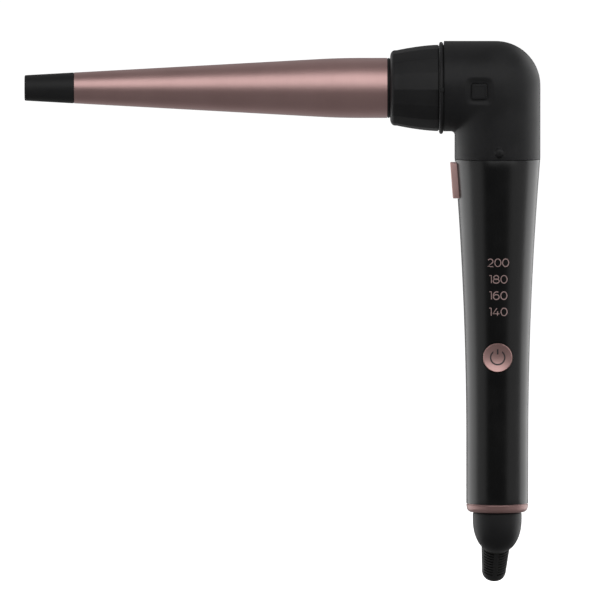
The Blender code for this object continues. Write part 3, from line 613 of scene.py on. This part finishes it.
def screw_seat(shell, name):
    """A post inside a rear shell and the round recess in it that takes a screw's head."""
    x, z, head_y = SCREW_PLACES[name]
    cut(shell, bar_tool("post", (x, 1.0, z), (x, head_y - 0.6, z), POST_RADIUS), "UNION")
    return cut(shell, bar_tool("recess", (x, head_y - 1.6, z), (x, 24.0, z), RECESS_RADIUS))


rocker_low, rocker_high = size_of("direction_rocker")
print("handle radius at the power button:", round(handle_radius(POWER_Z), 2), "mm")

# %% [markdown]
# ## Handle shells
# The real grip is moulded in two halves that screw together, so a whole tube is spun first, then cut
# on the plane of the seam. Each half gets rounded rims, a slot for the direction trigger and, in
# front, a round hole for the power button. At the back, posts carry the screws.

# %% Handle shells
def handle_half(name, side, node):
    """One half of the grip, with its share of the trigger's slot."""
    low, high = size_of(node)
    bottom, top = low.z, high.z + RIM_REACH
    heights = [bottom + (top - bottom) * i / 32 for i in range(33)]
    outline = [(z, handle_radius(z)) for z in heights]
    outline += [(z, handle_radius(z) - WALL) for z in reversed(heights)]
    shell = halved(spun(name, outline, sides=128), side)
    soften(shell, 0.1, 2, 60.0)
    slot_low, slot_high = rocker_low.z - SLOT_GAP, rocker_high.z + SLOT_GAP
    slot = slab("slot", (9.0, 9.6, slot_high - slot_low), (-17.5, 0.0, (slot_low + slot_high) / 2))
    return cut(shell, slot)


handle_front = handle_half("handle_front_skin", -1, "handle_front_shell")
cut(handle_front, bar_tool("hole", (0.0, -20.0, POWER_Z), (0.0, -5.0, POWER_Z), POWER_HOLE_RADIUS, 96))
handle_rear = handle_half("handle_rear_skin", 1, "handle_rear_shell")
for seat in ("handle_screw_upper", "handle_screw_lower"):
    screw_seat(handle_rear, seat)
fitted(smooth(handle_front), "handle", "handle_gloss_plastic", PIANO_ABS, "handle_front_shell")
fitted(smooth(handle_rear), "handle", "handle_gloss_plastic", PIANO_ABS, "handle_rear_shell")

# %% [markdown]
# ## Corner housing sections
# The housing turns the round handle into the horizontal arm. Its inside corner is nearly sharp and its
# outside corner is one big round, which no single spin gives. Cross-sections are lofted round the
# corner instead: each is two half-ellipses that share the widest line, so the outline can be sharp
# inside and round outside.

# %% Corner housing sections
ARM_RADIUS, NECK_RADIUS = 18.8, 17.85
INNER_FILLET, OUTER_CORNER, CORNER_SHARPNESS = 1.5, 18.55, 8.0
MOUTH_X, NECK_Z, HOUSING_TOP_Z = -22.3, 71.85, 120.95
SWING_X = -NECK_RADIUS - INNER_FILLET
SWING_Z = HOUSING_TOP_Z - 2 * ARM_RADIUS - INNER_FILLET


def outer_reach(angle):
    """How far the housing's outline is from the swing centre, along a ray."""
    across, rise = math.cos(angle), math.sin(angle)
    corner = Vector((NECK_RADIUS - OUTER_CORNER - SWING_X, HOUSING_TOP_Z - OUTER_CORNER - SWING_Z))
    wall_x, wall_z = NECK_RADIUS - SWING_X, HOUSING_TOP_Z - SWING_Z
    if across > 0 and wall_x * rise / across <= corner.y:
        return wall_x / across
    if rise > 0 and wall_z * across / rise <= corner.x:
        return wall_z / rise
    inward = across * corner.x + rise * corner.y
    return inward + math.sqrt(inward ** 2 - corner.length_squared + OUTER_CORNER ** 2)


def housing_section(angle, shift_x=0.0, shift_z=0.0, count=96):
    """One cross-section of the housing, in the plane that swings to an angle."""
    across, rise = math.cos(angle), math.sin(angle)
    neck = -SWING_X
    arm = HOUSING_TOP_Z - SWING_Z - ARM_RADIUS
    inverse = (max(across, 0.0) / neck) ** CORNER_SHARPNESS + (max(rise, 0.0) / arm) ** CORNER_SHARPNESS
    middle = inverse ** (-1 / CORNER_SHARPNESS)
    share = angle / (math.pi / 2)
    depth = NECK_RADIUS + (ARM_RADIUS - NECK_RADIUS) * share * share * (3 - 2 * share)
    outer, inner = outer_reach(angle) - middle, middle - INNER_FILLET
    points = []
    for i in range(count):
        turn = math.tau * i / count
        reach = middle + (outer if math.cos(turn) > 0 else inner) * math.cos(turn)
        points.append(Vector((SWING_X + shift_x + reach * across, depth * math.sin(turn),
                              SWING_Z + shift_z + reach * rise)) * MM)
    return points


print("housing swings about x", round(SWING_X, 2), "z", round(SWING_Z, 2))

# %% [markdown]
# ## Corner housing halves
# The real housing is moulded in two halves with an even wall. Rows of sections along the arm, round
# the corner and down the neck are joined by faces, the sheet gets its wall, and it is cut in two at
# the seam. The rear half has posts for three screws.

# %% Corner housing halves
def housing_half(name, side):
    """One half of the lofted housing, with its wall and softened edges."""
    quarter = math.pi / 2
    steps = 40
    arm_rows = [housing_section(quarter, shift_x=(MOUTH_X - SWING_X) * (4 - i) / 4) for i in range(4)]
    turn_rows = [housing_section(quarter * (1 - i / steps)) for i in range(steps + 1)]
    neck_rows = [housing_section(0.0, shift_z=(NECK_Z - SWING_Z) * i / 5) for i in range(1, 6)]
    shape = bmesh.new()
    rows = [[shape.verts.new(point) for point in row] for row in arm_rows + turn_rows + neck_rows]
    for row, following in zip(rows, rows[1:]):
        for i in range(len(row)):
            shape.faces.new([row[i - 1], following[i - 1], following[i], row[i]])
    shell = from_shape(name, shape)
    worked(shell, "SOLIDIFY", thickness=WALL * MM, offset=-1.0, use_even_offset=True)
    halved(shell, side)
    return soften(shell, 0.25, 2, 60.0)


housing_front = housing_half("housing_front_skin", -1)
housing_rear = housing_half("housing_rear_skin", 1)
for seat in ("elbow_screw_upper", "elbow_screw_right", "elbow_screw_left"):
    screw_seat(housing_rear, seat)
print("housing halves:", len(housing_front.data.polygons), "and", len(housing_rear.data.polygons))

# %% [markdown]
# ## Pad, hole and pip
# The release button sits in a shallow dish with a soft rim, pressed into the round shell. The dish's
# cutting tool is built of rounded-square rings, and each ring lies a set depth below the shell's own
# surface, so the rim stays even all round. The hole has a step with a lip behind the button, so that
# nothing inside shows through the gap. The pip is a small moulded mark, made as a spun dome.

# %% Pad, hole and pip
RELEASE_X, RELEASE_Z, RELEASE_FACE_Y, RELEASE_SIZE = -7.7, 100.7, -18.1, 6.2
DISH = (                  # half the width of each ring, and its depth below the shell
    (3.0, 1.05), (3.8, 1.0), (4.3, 0.78), (4.8, 0.48), (5.2, 0.24), (5.6, 0.08), (6.0, -0.02),
    (6.3, -0.3),
)
DISH_CORNER = 5.0         # how square the dish is: 2 would be round
RAY_START_Y, TOOL_FRONT_Y = -40.0, -24.0
LIP_Y = RELEASE_FACE_Y + 1.1
PIP_X, PIP_Z = 0.5, 75.3


def dish_tool(shell, points=64):
    """A cutting tool whose face lies a set depth below a shell's front, ring by rounded-square ring."""
    shape = bmesh.new()
    rings = []
    for half, depth in DISH:
        ring = []
        for i in range(points):
            turn = math.tau * i / points
            x, z = RELEASE_X, RELEASE_Z
            x += half * math.copysign(abs(math.cos(turn)) ** (2 / DISH_CORNER), math.cos(turn))
            z += half * math.copysign(abs(math.sin(turn)) ** (2 / DISH_CORNER), math.sin(turn))
            place = shell.ray_cast(Vector((x, RAY_START_Y, z)) * MM, Vector((0.0, 1.0, 0.0)))[1]
            ring.append(shape.verts.new(place + Vector((0.0, depth * MM, 0.0))))
        rings.append(ring)
    rings.append([shape.verts.new((vert.co.x, TOOL_FRONT_Y * MM, vert.co.z)) for vert in rings[-1]])
    for ring, following in zip(rings, rings[1:]):
        for i in range(points):
            shape.faces.new([ring[i - 1], ring[i], following[i], following[i - 1]])
    shape.faces.new(rings[0])
    shape.faces.new(rings[-1])
    bmesh.ops.recalc_face_normals(shape, faces=shape.faces)
    return from_shape("dish_tool", shape)


cut(housing_front, dish_tool(housing_front))
for wider, length, corner, back_y in ((0.85, 5.0, 1.2, LIP_Y), (0.1, 9.0, 0.95, LIP_Y + 4.0)):
    width = RELEASE_SIZE + wider
    cut(housing_front, slab("hole_tool", (width, length, width),
                            (RELEASE_X, back_y - length / 2, RELEASE_Z), corner=corner))
pip_top = NECK_RADIUS + 0.7
pip = spun("pip", [(pip_top, 0.0), (pip_top - 0.03, 0.5), (pip_top - 0.14, 1.0), (pip_top - 0.36, 1.45),
                   (pip_top - 0.65, 1.75), (pip_top - 1.0, 1.9), (pip_top - 2.0, 1.9), (pip_top - 2.0, 0.0)],
           axis=FRONT, centre=(PIP_X, PIP_Z), sides=32)
cut(housing_front, pip, "UNION")
fitted(smooth(housing_front), "handle", "housing_matte_plastic", SPARK_NYLON, "elbow_front_shell")
fitted(smooth(housing_rear), "handle", "housing_matte_plastic", SPARK_NYLON, "elbow_rear_shell")

# %% [markdown]
# ## Release button
# The square key that frees the barrel. A slab with round corners is bevelled all over, and its face is
# inset and pushed in a hair so that a fingertip finds it.

# %% Release button
thickness = 1.35
button = slab("release_button_cap", (RELEASE_SIZE, thickness, RELEASE_SIZE),
              (RELEASE_X, RELEASE_FACE_Y + thickness / 2, RELEASE_Z), corner=0.9)
soften(button, 0.18, 3)
pick_faces(button, lambda face: face.normal.y < -0.9 and face.calc_center_median().y < -17.0 * MM)
bpy.ops.mesh.inset(thickness=0.7 * MM)
bpy.ops.transform.translate(value=(0.0, 0.12 * MM, 0.0))
bpy.ops.object.mode_set(mode="OBJECT")
fitted(smooth(button), "release", "housing_matte_plastic", SPARK_NYLON, "release_button")

# %% [markdown]
# ## Direction trigger
# A two-way bar on the side of the handle picks which way the barrel turns. It is a cube stretched to
# the slot, tilted to follow the flare of the handle, bevelled, and given two finger pads with a low
# ridge between them by insetting its outer face.

# %% Direction trigger
ROCKER_WIDTH, ROCKER_PROUD = 9.0, 2.0
TRIGGER_X, TRIGGER_BACK_X = -13.7, -14.6
RIDGE_HALF = 0.7
middle_z = (rocker_low.z + rocker_high.z) / 2
trigger = slab("direction_trigger", (6.0, ROCKER_WIDTH, rocker_high.z - rocker_low.z),
               (TRIGGER_X, 0.0, middle_z))


def on_finger_pad(face):
    """Whether a face is one of the two large outer faces, above or below the ridge."""
    centre = face.calc_center_median() / MM
    outside = face.normal.x < -0.9 and centre.x < -16.0
    return outside and abs(centre.z - middle_z) > 1.5 and face.calc_area() > 8.0 * MM * MM


for vertex in trigger.data.vertices:
    face_x = -handle_radius(vertex.co.z / MM) - ROCKER_PROUD
    vertex.co.x = (face_x if vertex.co.x < TRIGGER_X * MM else TRIGGER_BACK_X) * MM
only(trigger)
bpy.ops.object.mode_set(mode="EDIT")
bpy.ops.mesh.select_all(action="SELECT")
for height in (middle_z - RIDGE_HALF, middle_z + RIDGE_HALF):
    bpy.ops.mesh.bisect(plane_co=(0.0, 0.0, height * MM), plane_no=(0.0, 0.0, 1.0))
    bpy.ops.mesh.select_all(action="SELECT")
bpy.ops.object.mode_set(mode="OBJECT")
soften(trigger, 0.45, 3, 40.0)
pick_faces(trigger, on_finger_pad)
bpy.ops.mesh.inset(thickness=0.8 * MM, use_individual=True)
bpy.ops.transform.translate(value=(0.28 * MM, 0.0, 0.0))
bpy.ops.object.mode_set(mode="OBJECT")
fitted(smooth(trigger), "rocker", "rose_gold_trim", ROSE_TRIGGER, "direction_rocker")

# %% [markdown]
# ## Power button
# A round key with a dished face. The dish is why the bottom of the key catches the overhead light and
# the top stays dark. The outline runs from the dish, over the rim and down the skirt, and one spin
# makes the key.

# %% Power button
POWER_RIM_Y, POWER_RADIUS, DISH_RADIUS, DISH_DEPTH = 12.85, 6.05, 5.8, 1.15
STEM_RADIUS = 1.6


def dish_at(radius):
    """How far in front of the handle's axis the dished face is, at a radius on the key."""
    return POWER_RIM_Y - DISH_DEPTH * (1.0 - min(1.0, radius / DISH_RADIUS) ** 2)


outline = [(dish_at(r * DISH_RADIUS / 10), r * DISH_RADIUS / 10) for r in range(11)]
outline += bow((POWER_RIM_Y - 0.2, POWER_RADIUS - 0.2), (0.2, 0.2), 30.0, 90.0, 3)
outline += [(POWER_RIM_Y - 2.0, POWER_RADIUS), (POWER_RIM_Y - 2.0, STEM_RADIUS),
            (POWER_RIM_Y - 2.9, STEM_RADIUS), (POWER_RIM_Y - 2.9, 0.0)]
key = spun("power_key", outline, axis=FRONT, centre=(0.0, POWER_Z), sides=96)
fitted(smooth(key), "power", "rose_gold_trim", ROSE_TRIM, "power_button")

# %% [markdown]
# ## Printed marks
# The temperatures and the power mark are pad-printed: a film of ink about as thick as paper that
# follows the surface under it. Each mark is made flat, cut into narrow strips so that it can bend, and
# then every point is moved onto the curved surface.

# %% Marks that follow a surface
INK = 0.05                # thickness of the ink that stands on the surface, in millimetres


def wrapped(piece, surface_at, step=0.4):
    """Bend a flat mark, drawn in the XZ plane with the ink's face towards -Y, onto a surface."""
    only(piece)
    bpy.ops.object.mode_set(mode="EDIT")
    xs = [v.co.x / MM for v in bmesh.from_edit_mesh(piece.data).verts]
    for i in range(1, int((max(xs) - min(xs)) / step) + 1):
        bpy.ops.mesh.select_all(action="SELECT")
        bpy.ops.mesh.bisect(plane_co=((min(xs) + i * step) * MM, 0.0, 0.0), plane_no=(1.0, 0.0, 0.0))
    bpy.ops.object.mode_set(mode="OBJECT")
    for vertex in piece.data.vertices:
        x, z = vertex.co.x / MM, vertex.co.z / MM
        lift = INK if vertex.co.y < 0.0 else -INK
        vertex.co.y = -(surface_at(x, z) + lift) * MM
    return smooth(piece, 40.0)


def on_handle(x, z):
    """How far in front of the handle's axis its surface is."""
    return math.sqrt(handle_radius(z) ** 2 - x * x)


def on_key(x, z):
    """How far in front of the handle's axis the power key's face is."""
    return dish_at(math.hypot(x, z - POWER_Z))


print("ink stands", INK, "mm proud")

# %% [markdown]
# ## Figures
# The temperatures are set in a plain round face, drawn here stroke by stroke: each figure is a few
# rings, arcs and straight lines. A curve with a small round bevel gives the strokes their width.

# %% Figures
FIGURE_HEIGHT, STROKE, FIGURE_GAP = 3.6, 0.44, 0.22
H = (FIGURE_HEIGHT - STROKE) / 2      # half the height of a figure's middle line
NUMBER_X = 0.2


def ring_of(x, z, reach_x, reach_z, first=0.0, last=360.0, count=28):
    """Points of an oval, or a part of one, by angle in degrees."""
    turns = [math.radians(first + (last - first) * i / count) for i in range(count + 1)]
    return [(x + reach_x * math.cos(t), z + reach_z * math.sin(t)) for t in turns]


FIGURES = {               # each figure's width and its strokes
    "0": (3.0, [ring_of(0.0, 0.0, 1.26, H)]),
    "1": (1.3, [[(-0.45, H), (0.38, H), (0.38, -H)]]),
    "2": (2.65, [ring_of(-0.03, H - 1.0, 1.02, 1.0, 155.0, -38.0) + [(-1.1, -H), (1.12, -H)]]),
    "4": (3.1, [[(0.3, H), (-1.3, -0.75), (1.35, -0.75)], [(0.55, 0.25), (0.55, -H)]]),
    "6": (2.95, [ring_of(0.05, -0.58, 1.17, H - 0.58),
                 ring_of(0.22, 0.0, 1.36, H, 62.0, 190.0)]),
    "8": (3.0, [ring_of(0.0, 0.76, 0.98, H - 0.76), ring_of(0.0, -0.72, 1.22, H - 0.72)]),
}


def number(words, centre_z, name):
    """A temperature as flat strokes, side by side and centred."""
    width = sum(FIGURES[w][0] for w in words) + FIGURE_GAP * (len(words) - 1)
    strokes = bpy.data.curves.new(name, "CURVE")
    strokes.dimensions = "3D"
    strokes.bevel_depth = STROKE / 2 * MM
    strokes.bevel_resolution = 2
    strokes.use_fill_caps = True
    x = NUMBER_X - width / 2
    for word in words:
        wide, lines = FIGURES[word]
        for line in lines:
            spline = strokes.splines.new("POLY")
            closed = math.dist(line[0], line[-1]) < 0.001
            points = line[:-1] if closed else line
            spline.points.add(len(points) - 1)
            spline.use_cyclic_u = closed
            for point, (across, rise) in zip(spline.points, points):
                point.co = ((x + wide / 2 + across) * MM, 0.0, (centre_z + rise) * MM, 1.0)
        x += wide + FIGURE_GAP
    only(placed(name, strokes))
    bpy.ops.object.convert(target="MESH")
    return wrapped(bpy.context.object, on_handle)


for words, centre_z in (("200", 29.4), ("180", 22.5), ("160", 15.7), ("140", 8.9)):
    mark = number(words, centre_z, "temperature_mark_" + words)
    fitted(mark, "handle", "handle_gloss_plastic", ROSE_INK)

# %% [markdown]
# ## Power mark
# The usual broken ring and bar, printed on the key in one pass. A flat ring is spun, a notch is cut in
# its top, the bar is joined, and the whole is laid on the dished face.

# %% Power mark
arc_mark = spun("power_mark", [(-0.05, 3.24), (0.05, 3.24), (0.05, 2.62), (-0.05, 2.62)], axis=FRONT,
                centre=(0.0, POWER_Z), sides=72)
notch = slab("notch", (3.6, 4.0, 4.0), (0.0, 0.0, POWER_Z + 3.4))
cut(arc_mark, notch)
stroke = slab("stroke", (0.66, 0.1, 2.2), (0.0, 0.0, POWER_Z + 2.4))
cut(arc_mark, stroke, "UNION")
fitted(wrapped(arc_mark, on_key), "power", "rose_gold_trim", MARK_INK)

# %% [markdown]
# ## End ring
# A bright collar closes the bottom of the handle. Its outline has a thin bevel at the top that catches
# the light, then rolls in under the handle. A low tongue on top covers the gap to the handle. The
# outline is closed, so the spin gives a ring.

# %% End ring
ring_low, ring_high = size_of("handle_end_ring")
top, tongue_top = ring_high.z, ring_high.z + 0.27
outline = [(top, 8.5), (top, 9.9), (tongue_top, 9.9), (tongue_top, GRIP_RADIUS - 0.4),
           (top, GRIP_RADIUS - 0.35), (top - 0.12, GRIP_RADIUS - 0.12), (top - 0.35, GRIP_RADIUS)]
outline += bow((top - 1.0, 11.0), (-2.25, 1.75), 90.0, 0.0, 14)
outline += [(ring_low.z, 8.5)]
ring = spun("end_ring", outline, sides=128)
fitted(smooth(ring, 20.0), "handle", "rose_gold_trim", ROSE_RING, "handle_end_ring")

# %% [markdown]
# ## Cord outlet
# Under the ring hangs a dome that turns with the cord, so that the cord does not twist. It is spun to
# a rounded bullet whose neck goes up into the ring, and a slanted socket is cut in it for the strain
# relief.

# %% Swivel dome
DOME_RADIUS, DOME_BELT_Z, DOME_POWER = 10.2, -78.0, 2.2
RELIEF_TILT, RELIEF_SWING, RELIEF_ROOT_Z = 35.0, 4.7, -80.0
dome_low, dome_high = size_of("cord_swivel_dome")
height = DOME_BELT_Z - dome_low.z
belt = ring_low.z - 0.3
NECK_TOP_Z, NECK_FOOT_Z = -64.8, -66.6
outline = [(dome_high.z, 0.0), (dome_high.z, 5.0), (NECK_TOP_Z, 5.0), (NECK_TOP_Z, 9.4),
           (NECK_FOOT_Z, 9.4), (NECK_FOOT_Z, 8.0), (belt + 0.25, 8.0), (belt + 0.25, 9.6),
           (belt, DOME_RADIUS - 0.5), (belt - 0.12, DOME_RADIUS - 0.15), (belt - 0.5, DOME_RADIUS)]
for i in range(25):
    turn = math.radians(90.0 * i / 24)
    drop = math.sin(turn) ** (2 / DOME_POWER) * height
    outline.append((DOME_BELT_Z - drop, DOME_RADIUS * max(0.0, math.cos(turn)) ** (2 / DOME_POWER)))
outline[-1] = (dome_low.z, 0.0)
dome = spun("swivel_dome", outline, sides=96)
tilt, swing = math.radians(RELIEF_TILT), math.radians(RELIEF_SWING)
way = Matrix.Rotation(swing, 3, "Z") @ Vector((0.0, math.sin(tilt), -math.cos(tilt)))
root = Vector((0.0, 0.0, RELIEF_ROOT_Z))
cut(dome, bar_tool("socket", root + way * 2.8, root + way * 22.0, 6.15, 64))
fitted(smooth(dome), "cord_outlet", "housing_matte_plastic", SPARK_NYLON, "cord_swivel_dome")

# %% [markdown]
# ## Strain relief
# The rubber sleeve that keeps the cord from kinking. Rows of slots let it bend; plain spines run
# between the columns of slots. The sleeve is spun with a row of faces for every slot, the faces of the
# slots are picked by their place round the sleeve, and they are extruded inwards.

# %% Strain relief
SLOT_PITCH, SLOT_WIDTH, SLOT_DEPTH, SLOTS = 1.47, 0.72, 1.5, 9
RELIEF_RADIUS, RELIEF_TIP_RADIUS, TAPER_AT, TAPER_TO = 6.0, 5.05, 11.0, 24.6
FIRST_SLOT = 11.9
SLOT_FROM, SLOT_TO = 10.0, 61.0       # where a slot starts and ends, in degrees from a spine


def relief_radius(along):
    """Outer radius of the sleeve at a distance from its root."""
    share = min(1.0, max(0.0, (along - TAPER_AT) / (TAPER_TO - TAPER_AT)))
    return RELIEF_RADIUS + (RELIEF_TIP_RADIUS - RELIEF_RADIUS) * share


def in_slot(face):
    """Whether a face of the sleeve is the floor of a slot."""
    centre = face.calc_center_median() / MM
    row = (-centre.z - FIRST_SLOT) / SLOT_PITCH
    in_row = 0 <= row < SLOTS and (row % 1.0) * SLOT_PITCH < SLOT_WIDTH
    off_spine = math.degrees(math.atan2(abs(centre.x), abs(centre.y)))
    return in_row and SLOT_FROM < off_spine < SLOT_TO and math.hypot(centre.x, centre.y) > 4.0


stations = [3.2, FIRST_SLOT - 0.6]
for i in range(SLOTS):
    stations += [FIRST_SLOT + i * SLOT_PITCH, FIRST_SLOT + i * SLOT_PITCH + SLOT_WIDTH]
outline = [(-3.2, 0.0)] + [(-along, relief_radius(along)) for along in stations]
outline += bow((-TAPER_TO, 3.65), (-3.4, 1.4), 78.0, 0.0, 8)
outline += [(-28.0, 3.1), (-26.0, 3.1), (-26.0, 0.0)]
sleeve = spun("strain_relief_sleeve", outline, sides=72)
pick_faces(sleeve, in_slot)
bpy.ops.mesh.extrude_region_shrink_fatten(TRANSFORM_OT_shrink_fatten={"value": -SLOT_DEPTH * MM})
bpy.ops.object.mode_set(mode="OBJECT")
soften(sleeve, 0.09, 1, 50.0)
sleeve.data.transform(Matrix.Rotation(swing, 4, "Z") @ Matrix.Translation(root * MM)
                      @ Matrix.Rotation(tilt, 4, "X"))
fitted(sleeve, "cord_outlet", "strain_relief_rubber", RELIEF_RUBBER, "strain_relief")

# %% [markdown]
# ## Barrel collar
# The hand holds this faceted collar to pull the barrel out. Sixteen flats run back from a rounded
# shoulder and belly out towards the housing, which a spin of only sixteen steps gives directly. A
# narrow bevel takes the sharpness off the ridges.

# %% Barrel collar
COLLAR_FRONT_RADIUS, COLLAR_BACK_RADIUS, COLLAR_FACETS = 16.0, 18.0, 16
collar_low, collar_high = size_of("barrel_collar")
front, back = -collar_low.x, -collar_high.x
shoulder = front - 2.2
outline = [(front, 8.6)] + bow((shoulder, 12.9), (2.2, 2.9), 0.0, 75.0, 9)
for i in range(13):
    a = shoulder - 0.6 + (back - shoulder + 0.6) * i / 12
    drop = (COLLAR_BACK_RADIUS - COLLAR_FRONT_RADIUS) * (max(0.0, a - back) / 16.0) ** 1.6
    outline.append((a, COLLAR_BACK_RADIUS - drop))
outline += [(back, 13.2), (42.4, 13.2), (42.4, 8.6)]
collar = spun("grip_collar", outline, axis=BARREL, sides=COLLAR_FACETS)
worked(collar, "BEVEL", width=0.35 * MM, segments=3, limit_method="ANGLE",
       angle_limit=math.radians(18.0))
smooth(collar, 14.0)
fitted(collar, "barrel_unit", "collar_matte_plastic", COLLAR_PPS, "barrel_collar")

# %% [markdown]
# ## Collar flange and spigot
# A thin bead separates the collar from the housing, and the spigot behind it plugs into the housing.
# A little nub in front lines the barrel up. All three are one moulding.

# %% Collar flange
TONGUE = 0.25             # low step on a rim that hides the gap to the next part
FLANGE_RADIUS, BEAD_BASE = 19.15, 18.2
SPIGOT_RADIUS, SPIGOT_BORE = 13.6, 11.8
bead_front, bead_back, spigot_end = 24.3, 22.6, 8.0
middle, half = (bead_front + bead_back) / 2, (bead_front - bead_back) / 2
outline = [(bead_front + TONGUE, SPIGOT_BORE), (bead_front + TONGUE, BEAD_BASE - 0.65),
           (bead_front, BEAD_BASE - 0.6)]
outline += bow((middle, BEAD_BASE), (half, FLANGE_RADIUS - BEAD_BASE), 0.0, 180.0, 14)
outline += [(bead_back, BEAD_BASE - 0.15), (bead_back - TONGUE, BEAD_BASE - 0.2),
            (bead_back - TONGUE, SPIGOT_RADIUS), (10.6, SPIGOT_RADIUS), (10.6, 12.9), (8.9, 12.9),
            (8.9, SPIGOT_RADIUS), (spigot_end + 0.5, SPIGOT_RADIUS), (spigot_end, SPIGOT_RADIUS - 0.5),
            (spigot_end, SPIGOT_BORE)]
flange = spun("flange_and_spigot", outline, axis=BARREL, sides=96)
nub = slab("nub", (half * 2 + 0.4, 1.95, 1.3), (-middle, -18.45, BARREL_Z), corner=0.25)
cut(flange, nub, "UNION")
fitted(smooth(flange, 35.0), "barrel_unit", "collar_matte_plastic", COLLAR_PPS, "collar_flange")

# %% [markdown]
# ## Barrel
# The heated barrel is one turned aluminium tube: a short straight root, then a long taper to the tip.
# The change of slope is blended over a few millimetres, as a lathe's tool nose would leave it. A black
# band closes its root and a cool plastic tip lets a finger hold the far end.

# %% Barrel tube
TUBE_RADIUS, TUBE_TIP_RADIUS, TUBE_WALL, CONE_END, BLEND = 12.5, 6.42, 1.2, 65.4, 9.0
tube_low, tube_high = size_of("barrel_tube")
tip_seam, tube_root = -tube_low.x, -tube_high.x
slope = (TUBE_RADIUS - TUBE_TIP_RADIUS) / (tip_seam - CONE_END)


def tube_radius(a):
    """Outer radius of the barrel at a distance from the handle's axis."""
    past = a - CONE_END
    if past <= -BLEND:
        return TUBE_RADIUS
    if past < BLEND:
        return TUBE_RADIUS - slope * (past + BLEND) ** 2 / (4 * BLEND)
    return TUBE_RADIUS - slope * past


stations = [tip_seam + (tube_root - tip_seam) * i / 60 for i in range(61)]
outline = [(a, tube_radius(a)) for a in stations] + [(tube_root, TUBE_RADIUS - TUBE_WALL)]
outline += [(CONE_END, TUBE_RADIUS - TUBE_WALL), (tip_seam, TUBE_TIP_RADIUS - TUBE_WALL)]
tube = spun("heated_barrel", outline, axis=BARREL, sides=160)
fitted(smooth(tube), "barrel", "rose_gold_barrel", ROSE_BARREL, "barrel_tube")

# %% [markdown]
# ## Band and cool tip
# Both are moulded in the collar's heat-proof plastic, so both are spun like it. The band is a plain
# hoop with softened edges and a tongue on each side. The tip is a plug whose cap covers the barrel's
# end with a rounded rim, a hair's breadth away from the metal.

# %% Band and cool tip
band_low, band_high = size_of("barrel_band")
near, far, sunk = -band_high.x, -band_low.x, TUBE_RADIUS - 0.2
outline = [(near - TONGUE, 10.9), (near - TONGUE, sunk), (near, sunk), (near + 0.15, TUBE_RADIUS),
           (far - 0.15, TUBE_RADIUS), (far, sunk), (far + TONGUE, sunk), (far + TONGUE, 10.9)]
band = spun("root_band", outline, axis=BARREL, sides=128)
fitted(smooth(band), "barrel", "collar_matte_plastic", COLLAR_PPS, "barrel_band")
tip_end = -size_of("cool_tip")[0].x
TIP_END_RADIUS, TIP_ROUND = 5.33, 0.6
outline = [(tip_end, 0.0)]
outline += bow((tip_end - TIP_ROUND, TIP_END_RADIUS - TIP_ROUND), (TIP_ROUND, TIP_ROUND), 0.0, 88.0, 6)
outline += [(tip_seam + 0.45, TUBE_TIP_RADIUS), (tip_seam + 0.3, TUBE_TIP_RADIUS - 0.15),
            (tip_seam + 0.05, TUBE_TIP_RADIUS - 0.2), (tip_seam + 0.05, 4.6), (168.0, 4.6), (168.0, 0.0)]
tip = spun("cool_tip_cap", outline, axis=BARREL, sides=96)
fitted(smooth(tip), "barrel", "collar_matte_plastic", COLLAR_PPS, "cool_tip")

# %% [markdown]
# ## Screws
# Five pan-head screws hold the rear shells. One is modelled, with a cross recess cut in its head, and
# the others are copies with their own meshes, moved into their seats.

# %% Screws
screw = spun("screw", [(0.0, 0.0), (0.05, 0.9), (-0.12, 1.7), (-0.4, 2.15), (-1.2, 2.15), (-1.2, 1.15),
                       (-7.2, 1.15), (-8.0, 0.0)], sides=48)
worked(screw, "BEVEL", width=0.12 * MM, segments=2, limit_method="ANGLE", angle_limit=math.radians(50.0))
for turn in (0.0, 90.0):
    groove = slab("groove", (2.6, 0.5, 1.6), (0.0, 0.0, 0.1))
    groove.rotation_euler = (0.0, 0.0, math.radians(turn))
    cut(screw, settle(groove))
smooth(screw)
for node, (x, z, head_y) in SCREW_PLACES.items():
    copy = placed(node + "_turned", screw.data.copy())
    copy.data.name = copy.name
    copy.data.transform(Matrix.Translation(Vector((x, head_y, z)) * MM)
                        @ Matrix.Rotation(math.radians(-90.0), 4, "X"))
    fitted(copy, "handle", "steel", STEEL, node)
bpy.data.objects.remove(screw)

# %% [markdown]
# ## Parts inside
# The mechanism's own parts stay as they are. Each takes the finish of what it is made of.

# %% Finishes inside
INSIDE = {
    STEEL: ("rocker_pivot_pin", "drive_chassis", "drive_motor", "hub_bearing_front",
            "hub_bearing_rear", "drive_shaft", "latch_yoke", "thermal_fuse"),
    BRASS: ("swivel_contact_live", "swivel_contact_neutral", "swivel_ring_live", "swivel_ring_neutral",
            "contact_clip_live", "contact_clip_neutral", "contact_pin_live", "contact_pin_neutral",
            "slip_ring_live", "slip_ring_neutral", "motor_gearbox"),
    ALUMINIUM: ("filter_capacitor", "heater_half_upper", "heater_half_lower"),
    CERAMIC: ("supply_transformer", "ptc_heater", "thermistor"),
    BOARD: ("main_circuit_board",),
    COMPONENT_BLACK: ("power_switch", "rocker_switch_upper", "rocker_switch_lower", "brush_live",
                      "brush_neutral", "shaft_bush"),
    ACETAL: ("swivel_bush", "crown_gear", "motor_pinion"),
    HEAT_PPS: ("swivel_contact_carrier", "socket_sleeve", "brush_holder", "barrel_hub"),
    CLEAR_PC: ("temperature_light_guide",),
}
for material, names in INSIDE.items():
    for name in names:
        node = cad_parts[name]
        for slot in node.material_slots:
            slot.material = material
    print(material.name, "on", len(names), "parts")
